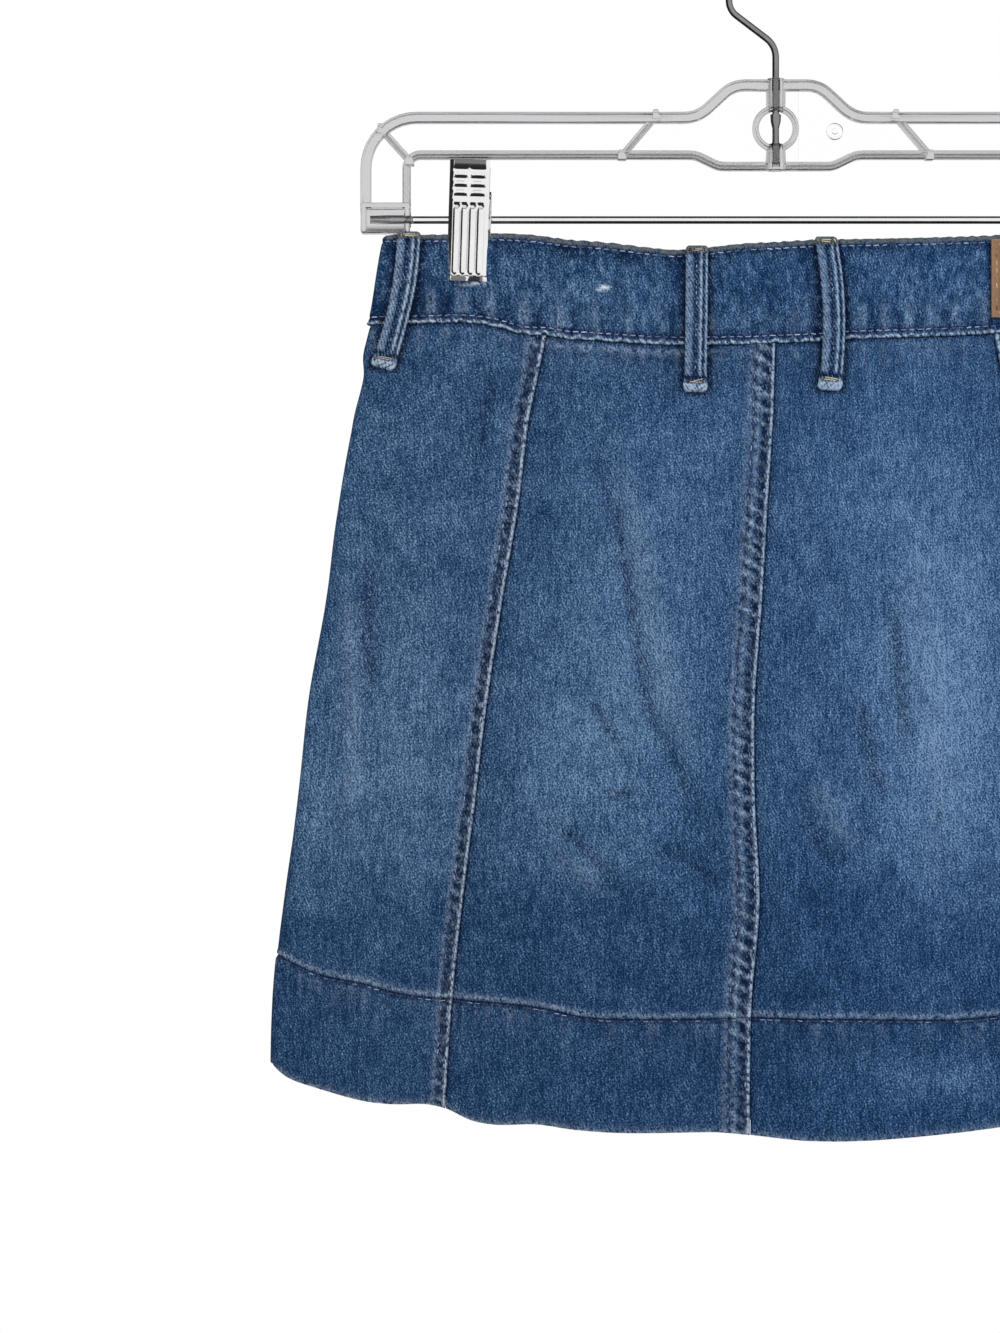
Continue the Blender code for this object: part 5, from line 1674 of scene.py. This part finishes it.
def turned(profile, base, axis, sides=24):
    """A turned shape: a disc drawn out along an axis through steps of (radius, height)."""
    axis = Vector(axis).normalized()
    piece = begin("circle", vertices=sides, radius=profile[0][0], fill_type="NGON")
    for (radius, height), (wide, high) in zip(profile, profile[1:]):
        if abs(high - height) > 1e-9:
            push((0, 0, high - height), (wide / radius, wide / radius, 1))
        else:
            bpy.ops.mesh.inset(thickness=radius - wide)
    only(piece)
    piece.rotation_mode = "QUATERNION"
    piece.rotation_quaternion = Vector(UP).rotation_difference(axis)
    piece.location = Vector(base) + axis * profile[0][1]
    reopen()
    return close_up(piece)


def slab(xs, ys, zs, soften, pocket=None):
    """A block with softened edges, and a moulded pocket of some margin and depth in its wide faces."""
    low, high = zip(*(sorted(pair) for pair in (xs, ys, zs)))
    size = [b - a for a, b in zip(low, high)]
    piece = begin("cube", size=1, location=[(a + b) / 2 for a, b in zip(low, high)])
    resize(*size)
    bpy.ops.mesh.bevel(offset=soften, segments=3)
    if pocket:
        margin, depth = pocket
        wide = 0.3 * size[0] * size[2]
        for hand in (-1, 1):
            pick(piece, "faces", lambda f: f.normal.y * hand > 0.95 and f.calc_area() > wide)
            bpy.ops.mesh.inset(thickness=margin)
            push((0, -hand * depth, 0), (0.94, 1, 0.9))
    return close_up(piece)


# ---- the hanger
class SKIRT_OT_hanger_frame(bpy.types.Operator):
    """Moulds the clear plastic frame: rails, posts, braces, end blocks, bosses and the ring"""

    bl_idname = "skirt.hanger_frame"
    bl_label = "Hanger frame"

    def execute(self, context):
        soften = context.scene.skirt_hanger.edge
        body = bar(mirrored(TOP_RAIL), 0.0047, 0.006, soften * 1.3, (1.0, 0.86))
        parts = [bar(mirrored(LOW_RAIL), 0.0036, 0.0054, soften, (0.35, 0.45)), self.ring()]
        holes = [turned(((WIRE_RADIUS, -0.094), (WIRE_RADIUS, -0.05)), ORIGIN, UP, 12)]
        on_rod, seat_radius = (0, 0, -ROD_BELOW), ROD_RADIUS + 0.0001
        for side in (-1, 1):
            for x, z, end_x, end_z, width, depth in BRACES:
                ends = (Corner(side * x, z, 0), Corner(side * end_x, end_z, 0))
                parts.append(bar(ends, width, depth, soften * 0.8, (0.5, 0.7)))
                parts += [self.nub(end.x, end.z, side) for end in ends]
            block = (side * BLOCK_INNER, side * HANGER_HALF), (-0.004, 0.004), (BLOCK_FOOT, BLOCK_TOP)
            parts.append(slab(*block, 0.001, (0.0011, 0.0012)))
            socket = ((0.0032, -0.0004), (0.0034, 0.01), (0.0028, 0.011))
            seat = ((seat_radius, BLOCK_INNER - 0.004), (seat_radius, ROD_HALF + 0.0001))
            parts.append(turned([(r, BLOCK_INNER + along) for r, along in socket], on_rod, (side, 0, 0), 20))
            holes.append(turned(seat, on_rod, (side, 0, 0), 16))
        upper = ((0.0036, -0.069), (0.0043, -0.0682), (0.0044, -0.0575), (0.0038, -0.0558))
        lower = ((0.0048, -0.095), (0.0046, -0.0925), (0.0042, -0.085), (0.003, -0.0838))
        parts += [turned(boss, ORIGIN, UP, 10) for boss in (upper, lower)]
        fuse(body, parts)
        fuse(body, holes, "DIFFERENCE")
        only(body)
        bpy.ops.object.shade_smooth_by_angle(angle=math.radians(32))
        settle(body, "clear_hanger_frame", "plastic", ["hanger_frame"])
        self.webs()
        return {"FINISHED"}

    def ring(self):
        radii = {"major_radius": RING_RADIUS, "minor_radius": 0.00145}
        segments = {"major_segments": 56, "minor_segments": 12}
        piece = begin("torus", location=(0, 0, RING_Z), rotation=UPRIGHT, **radii, **segments)
        resize(1, 1.75, 1)
        return close_up(piece)

    def nub(self, x, z, side):
        """The small pyramid that a mould leaves where a brace meets a rail."""
        piece = begin("cube", size=0.004, location=(x, 0, z))
        resize(0.95, 1.55, 0.95)
        bpy.ops.mesh.bevel(offset=0.0005, segments=2)
        pick(piece, "verts", lambda v: v.co.z > z + 0.0005)
        resize(0.62, 0.8, 1)
        move(side * 0.0004, 0, 0.0005)
        return close_up(piece)

    def webs(self):
        """Thin clear webs between the rails beside the hook, one with the mould's round mark."""
        mark = (
            (0.0034, -0.0011), (0.0037, -0.0007), (0.0037, 0.0007), (0.0034, 0.0011),
            (0.0026, 0.0011), (0.0024, 0.0006), (0.0014, 0.0006), (0.0012, 0.0011), (0.0004, 0.0011),
        )
        webs = [self.web(-1), fuse(self.web(1), [turned(mark, (0.0254, 0, -0.0783), (0, -1, 0), 20)])]
        join(webs[1], webs[:1])
        bpy.ops.object.shade_smooth_by_angle(angle=math.radians(30))
        settle(webs[1], "clear_hanger_webs", "web", ())

    def web(self, side):
        """One web from the ring to the brace, with its long edges inside the rails."""
        columns = (
            (0.0098, -0.0588, 0.0098, -0.0934), (0.0185, -0.0588, 0.0245, -0.0934),
            (0.0335, -0.0722, 0.0345, -0.0886), (0.0505, -0.0722, 0.065, -0.0886),
        )
        piece = begin("grid", x_subdivisions=3, y_subdivisions=1, size=1, rotation=UPRIGHT)
        for k, (top_x, top, foot_x, foot) in enumerate(columns):
            at = k / 3 - 0.5
            for level, x, z in ((0.5, top_x, top), (-0.5, foot_x, foot)):
                pick(piece, "verts", lambda v: abs(v.co.x - at) < 0.01 and abs(v.co.z - level) < 0.01)
                move(side * x - at, 0, z - level)
        modify(piece, "SOLIDIFY", thickness=0.0008, offset=0.0)
        open_up()
        return close_up(piece)


class SKIRT_OT_hook_and_rod(bpy.types.Operator):
    """Bends the wire hook with its pressed stop, and turns the steel rod"""

    bl_idname = "skirt.hook_and_rod"
    bl_label = "Hook and rod"

    def execute(self, context):
        size = context.scene.skirt_hanger
        radius = size.wire
        foot = (0, 0, SHAFT_FOOT)
        piece = begin("circle", vertices=16, radius=radius * 0.6, fill_type="NGON", location=foot)
        steps = (
            (0.0006, 1.66, 1.66), (0.0057, 1.0, 1.0), (0.0012, 1.22, 1.22), (0.0016, 1.0, 1.0),
            (0.0012, 0.82, 0.82), (0.0055, 1.0, 1.0), (0.003, 1.5, 0.92), (0.0028, 1.08, 1.0),
            (0.0006, 0.62, 1.09),
        )
        level = SHAFT_FOOT
        for height, wide, deep in steps:
            push((0, 0, height), (wide, deep, 1))
            level += height
        bow = radius - HOOK_RADIUS
        follow((
            Corner(0, level, 0), Corner(0, -0.0414, 0.01), Corner(-HOOK_RADIUS, -0.0261, 0.008),
            Corner(-HOOK_RADIUS, bow, 0),
        ))
        tip = math.radians(HOOK_TIP_ANGLE)
        bpy.ops.mesh.spin(steps=40, angle=tip - math.pi, center=(0, 0, bow), axis=INTO_FRONT)
        ahead = Vector((math.sin(tip), 0, -math.cos(tip)))
        push(ahead * 0.0005, (0.86, 0.86, 0.86))
        push(ahead * 0.0004, (0.55, 0.55, 0.55))
        close_up(piece, 40)
        settle(piece, "wire_hook", "wire", ["hanger_hook"])

        half = ((size.rod * 0.55, 0), (size.rod * 0.8, 0.0004), (size.rod * 0.8, 0.008), (size.rod, 0.0086))
        left = [(r, end - ROD_HALF) for r, end in half]
        right = [(r, -end) for r, end in reversed(left)]
        rod = turned(left + right, (0, 0, -ROD_BELOW), ALONG_X, 28)
        settle(rod, "steel_rod", "steel", ["hanger_rod"])
        return {"FINISHED"}


class SKIRT_OT_clips(bpy.types.Operator):
    """Presses the clips' ribbed plates, with their ears and springs, and sets them on the rod"""

    bl_idname = "skirt.clips"
    bl_label = "Clips"

    def execute(self, context):
        patterns = {
            "back_plate": self.plate(-1, 0.0),
            "front_plate": self.plate(1, 0.0016),
            "spring": self.spring(),
        }
        for side, clip_x in zip(("left", "right"), CLIP_X):
            for name, pattern in patterns.items():
                piece = pattern.copy()
                piece.data = pattern.data.copy()
                context.scene.collection.objects.link(piece)
                piece.location, piece.rotation_euler = (clip_x, 0, -ROD_BELOW), (0, CLIP_TILT, 0)
                only(piece)
                put_place_in_mesh()
                settle(piece, f"steel_{side}_{name}", "steel", [f"clip_{side}_{name}"])
        for pattern in patterns.values():
            bpy.data.objects.remove(pattern)
        return {"FINISHED"}

    def out_at(self, z):
        """How far the plate stands from the middle plane at a height above the rod."""
        heights, outs = zip(*PLATE_LINE)
        return float(np.mean(np.interp(z + np.linspace(-0.004, 0.004, 9), heights, outs))) + 0.001

    def plate(self, hand, ear_out):
        """One plate: a sheet bent along its line, with rolled sides, four ribs and rows of bumps."""
        half, foot, top = CLIP_HALF + 0.0005, PLATE_LINE[0][0], PLATE_LINE[-1][0] - 0.0006
        turn = (math.radians(-90 * hand), 0, 0)
        piece = begin("grid", x_subdivisions=20, y_subdivisions=30, size=1, rotation=turn)
        resize(2 * half, 1, top - foot)
        move(0, 0, (foot + top) / 2)

        def press(wanted, amount):
            pick(piece, "verts", wanted)
            move(0, hand * amount, 0)

        def press_line(x, z, end_x, end_z, reaches, amount):
            """Presses all within reach of a line, once for each reach."""
            for reach in reaches:
                press(lambda v: near_line(v.co, x, z, end_x, end_z, reach), amount)

        for z in sorted({round(v.co.z, 5) for v in bmesh.from_edit_mesh(piece.data).verts}):
            press(lambda v: abs(v.co.z - z) < 2e-5, self.out_at(z))
        pick_all()
        bpy.ops.mesh.subdivide(number_cuts=4)
        cell_wide, cell_high = half / 50, (top - foot) / 150
        rib_pitch, rib_foot, rib_top, cap = 0.00344, -0.0226, 0.0036, 0.0052
        for rib in range(4):
            x = (rib - 1.5) * rib_pitch - 0.0001
            press_line(x, rib_foot, x, rib_top, [0.00132 - cell_wide * k for k in range(5)], 0.00013)
            groove = x + 0.00162
            press_line(groove, rib_foot + 0.0004, groove, rib_top - 0.0002, [0.55 * cell_wide], -0.00012)
            cap_reaches = [0.0013 - 0.8 * cell_high * k for k in range(4)]
            press_line(x - 0.0002, cap, x + 0.0002, cap, cap_reaches, -0.00018)
        for row in range(4):
            z = 0.0086 + row * 0.0038
            for x, wide in ((-0.0037, 0.0019), (0.0036, 0.0022)):
                press_line(x - wide, z - 0.001, x + wide, z - 0.001, [0.0012], 0.00014)
                if row:
                    press_line(x - wide / 2, z - 0.0012, x + wide / 2, z - 0.0012, [0.0008], 0.00014)
                press_line(x - wide, z, x + wide, z, [0.0015 - cell_high * k for k in range(4)], -0.00013)
        press(lambda v: v.co.z < foot + 6.5 * cell_high, 0.0005)
        for step in range(6):
            low = foot + (step + 0.5) * cell_high
            press(lambda v: v.co.z < low and 0.0004 < abs(v.co.x - 0.0002) < 0.0072, -0.000128)
            press(lambda v: v.co.z < low and 0.0006 < v.co.x < 0.0057, -0.00001)
        for step in range(10):
            press(lambda v: v.co.z > top - (step + 0.5) * cell_high, 0.0001)
        for step in range(10):
            press(lambda v: abs(v.co.x) > half - (step + 0.5) * cell_wide, -0.00013)
        modify(piece, "SOLIDIFY", thickness=0.0005, offset=-1.0)
        modify(piece, "DECIMATE", ratio=0.36 if ear_out else 0.55)
        bpy.ops.object.shade_smooth_by_angle(angle=math.radians(60))
        return join(piece, [ear for side in (-1, 1) for ear in self.ear(hand, side, ear_out)])

    def ear(self, hand, side, ear_out):
        """The bored ear at one side of a plate, and at the front plate's right side its folded lip."""
        outside = side * CLIP_HALF + (ear_out if side > 0 else 0.9 * ear_out)
        wall = side * (0.0014 if ear_out else 0.0008)
        ear = slab((outside - wall, outside), (-hand * 0.0034, hand * 0.0062), (-0.0058, 0.0108), 0.0003)
        only(ear)
        open_up()
        pick(ear, "verts", lambda v: v.co.y * hand > 0.003 and v.co.z < 0)
        move(0, -hand * 0.0034, 0)
        pick(ear, "edges", lambda e: abs(e.verts[0].co.x - e.verts[1].co.x) > 0.0001)
        bpy.ops.mesh.bevel(offset=0.0016, segments=4)
        if ear_out:
            pick(ear, "verts", lambda v: v.co.y * hand < -0.0028 and side * (outside - v.co.x) > 0.0008)
            move(0, hand * 0.001, 0)
        close_up(ear)
        bore = turned(((ROD_RADIUS + 0.0002, -0.012), (ROD_RADIUS + 0.0002, 0.012)), ORIGIN, ALONG_X, 20)
        parts = [fuse(ear, [bore], "DIFFERENCE")]
        if ear_out and side > 0:
            lip = (CLIP_HALF - 0.0006, outside), (hand * 0.0058, hand * 0.0068), (-0.0018, 0.0078)
            parts.append(slab(*lip, 0.0003))
        return parts

    def spring(self):
        """The coil on the rod."""
        start = (-0.0046, 0.00275, 0)
        piece = begin("circle", vertices=10, radius=0.00052, fill_type="NOTHING", location=start)
        turns, steps = math.radians(360 * 7.5), 150
        modify(piece, "SCREW", axis="X", angle=turns, screw_offset=0.0092, steps=steps, render_steps=steps)
        open_up()
        for hand in (-1, 1):
            pick(piece, "edges", lambda e: e.is_boundary and e.verts[0].co.x * hand > 0)
            bpy.ops.mesh.edge_face_add()
        return close_up(piece, 60)


def near_line(place, x, z, end_x, end_z, reach):
    """Whether a place on a plate lies within reach of a line on it."""
    along = Vector((end_x - x, end_z - z))
    from_start = Vector((place.x - x, place.z - z))
    share = min(1.0, max(0.0, from_start.dot(along) / along.length_squared))
    return (from_start - along * share).length < reach


# ---- the waist button
class SKIRT_OT_button(bpy.types.Operator):
    """Sets the shank button at the centre front, with its stitched buttonhole"""

    bl_idname = "skirt.button"
    bl_label = "Waist button"

    def execute(self, context):
        below = float(mix(edge("top", CENTRE_FRONT), edge("waist", CENTRE_FRONT), 0.5))
        (spot,), _ = WAISTBAND.place(np.array([CENTRE_FRONT]), np.array([below]))
        profile = (
            (0.0015, -0.002), (0.0015, 0.0001), (0.0072, 0.0002), (0.0082, 0.0007), (0.0085, 0.0014),
            (0.0082, 0.0022), (0.0075, 0.0028), (0.0067, 0.003), (0.0061, 0.0026), (0.0057, 0.0021),
            (0.005, 0.002), (0.0036, 0.0024), (0.0018, 0.0026), (0.0006, 0.0027),
        )
        cap = turned(profile, spot, INTO_FRONT, 48)
        settle(cap, "shank_button", "button", ["waist_button"])
        rows = []
        for k, length in enumerate(np.linspace(*length_at(BUTTONHOLE), 34)):
            for side in (-1, 1):
                at = below + side * np.linspace(0.0004, 0.0024, 5)
                spots = WAISTBAND.place(np.full(5, float(station_at(length))), at)
                rows.append(stitch_points(*spots, 1.0, 0.00026, 500 + 2 * k + side, fill=0.96))
        sew("stitches_buttonhole", rows, finish_named("thread"))
        return {"FINISHED"}


# ---- the add-on
STEPS = (
    SKIRT_OT_stage, SKIRT_OT_panels, SKIRT_OT_hem_band, SKIRT_OT_waistband, SKIRT_OT_topstitching,
    SKIRT_OT_belt_loops, SKIRT_OT_patch, SKIRT_OT_button, SKIRT_OT_hanger_frame, SKIRT_OT_hook_and_rod,
    SKIRT_OT_clips,
)


class SKIRT_PT_sidebar(bpy.types.Panel):
    """Lists the steps that model the skirt and its hanger"""

    bl_idname = "SKIRT_PT_sidebar"
    bl_label = "Denim Skirt"
    bl_space_type = "VIEW_3D"
    bl_region_type = "UI"
    bl_category = "Skirt"

    def draw(self, context):
        for operator in STEPS:
            self.layout.operator(operator.bl_idname)
        for settings, group in SETTINGS.items():
            box = self.layout.box()
            for name in group.__annotations__:
                box.prop(getattr(context.scene, settings), name)


SETTINGS = {"skirt_cloth": ClothSettings, "skirt_hanger": HangerSettings, "skirt_stage": StageSettings}


def register():
    for group in SETTINGS.values():
        bpy.utils.register_class(group)
    for name, group in SETTINGS.items():
        setattr(bpy.types.Scene, name, bpy.props.PointerProperty(type=group))
    for shown in (*STEPS, SKIRT_PT_sidebar):
        bpy.utils.register_class(shown)


def unregister():
    for shown in (SKIRT_PT_sidebar, *reversed(STEPS)):
        bpy.utils.unregister_class(shown)
    for name, group in SETTINGS.items():
        delattr(bpy.types.Scene, name)
        bpy.utils.unregister_class(group)


def main():
    register()
    for operator in STEPS:
        group, name = operator.bl_idname.split(".")
        getattr(getattr(bpy.ops, group), name)()


if __name__ == "__main__":
    main()
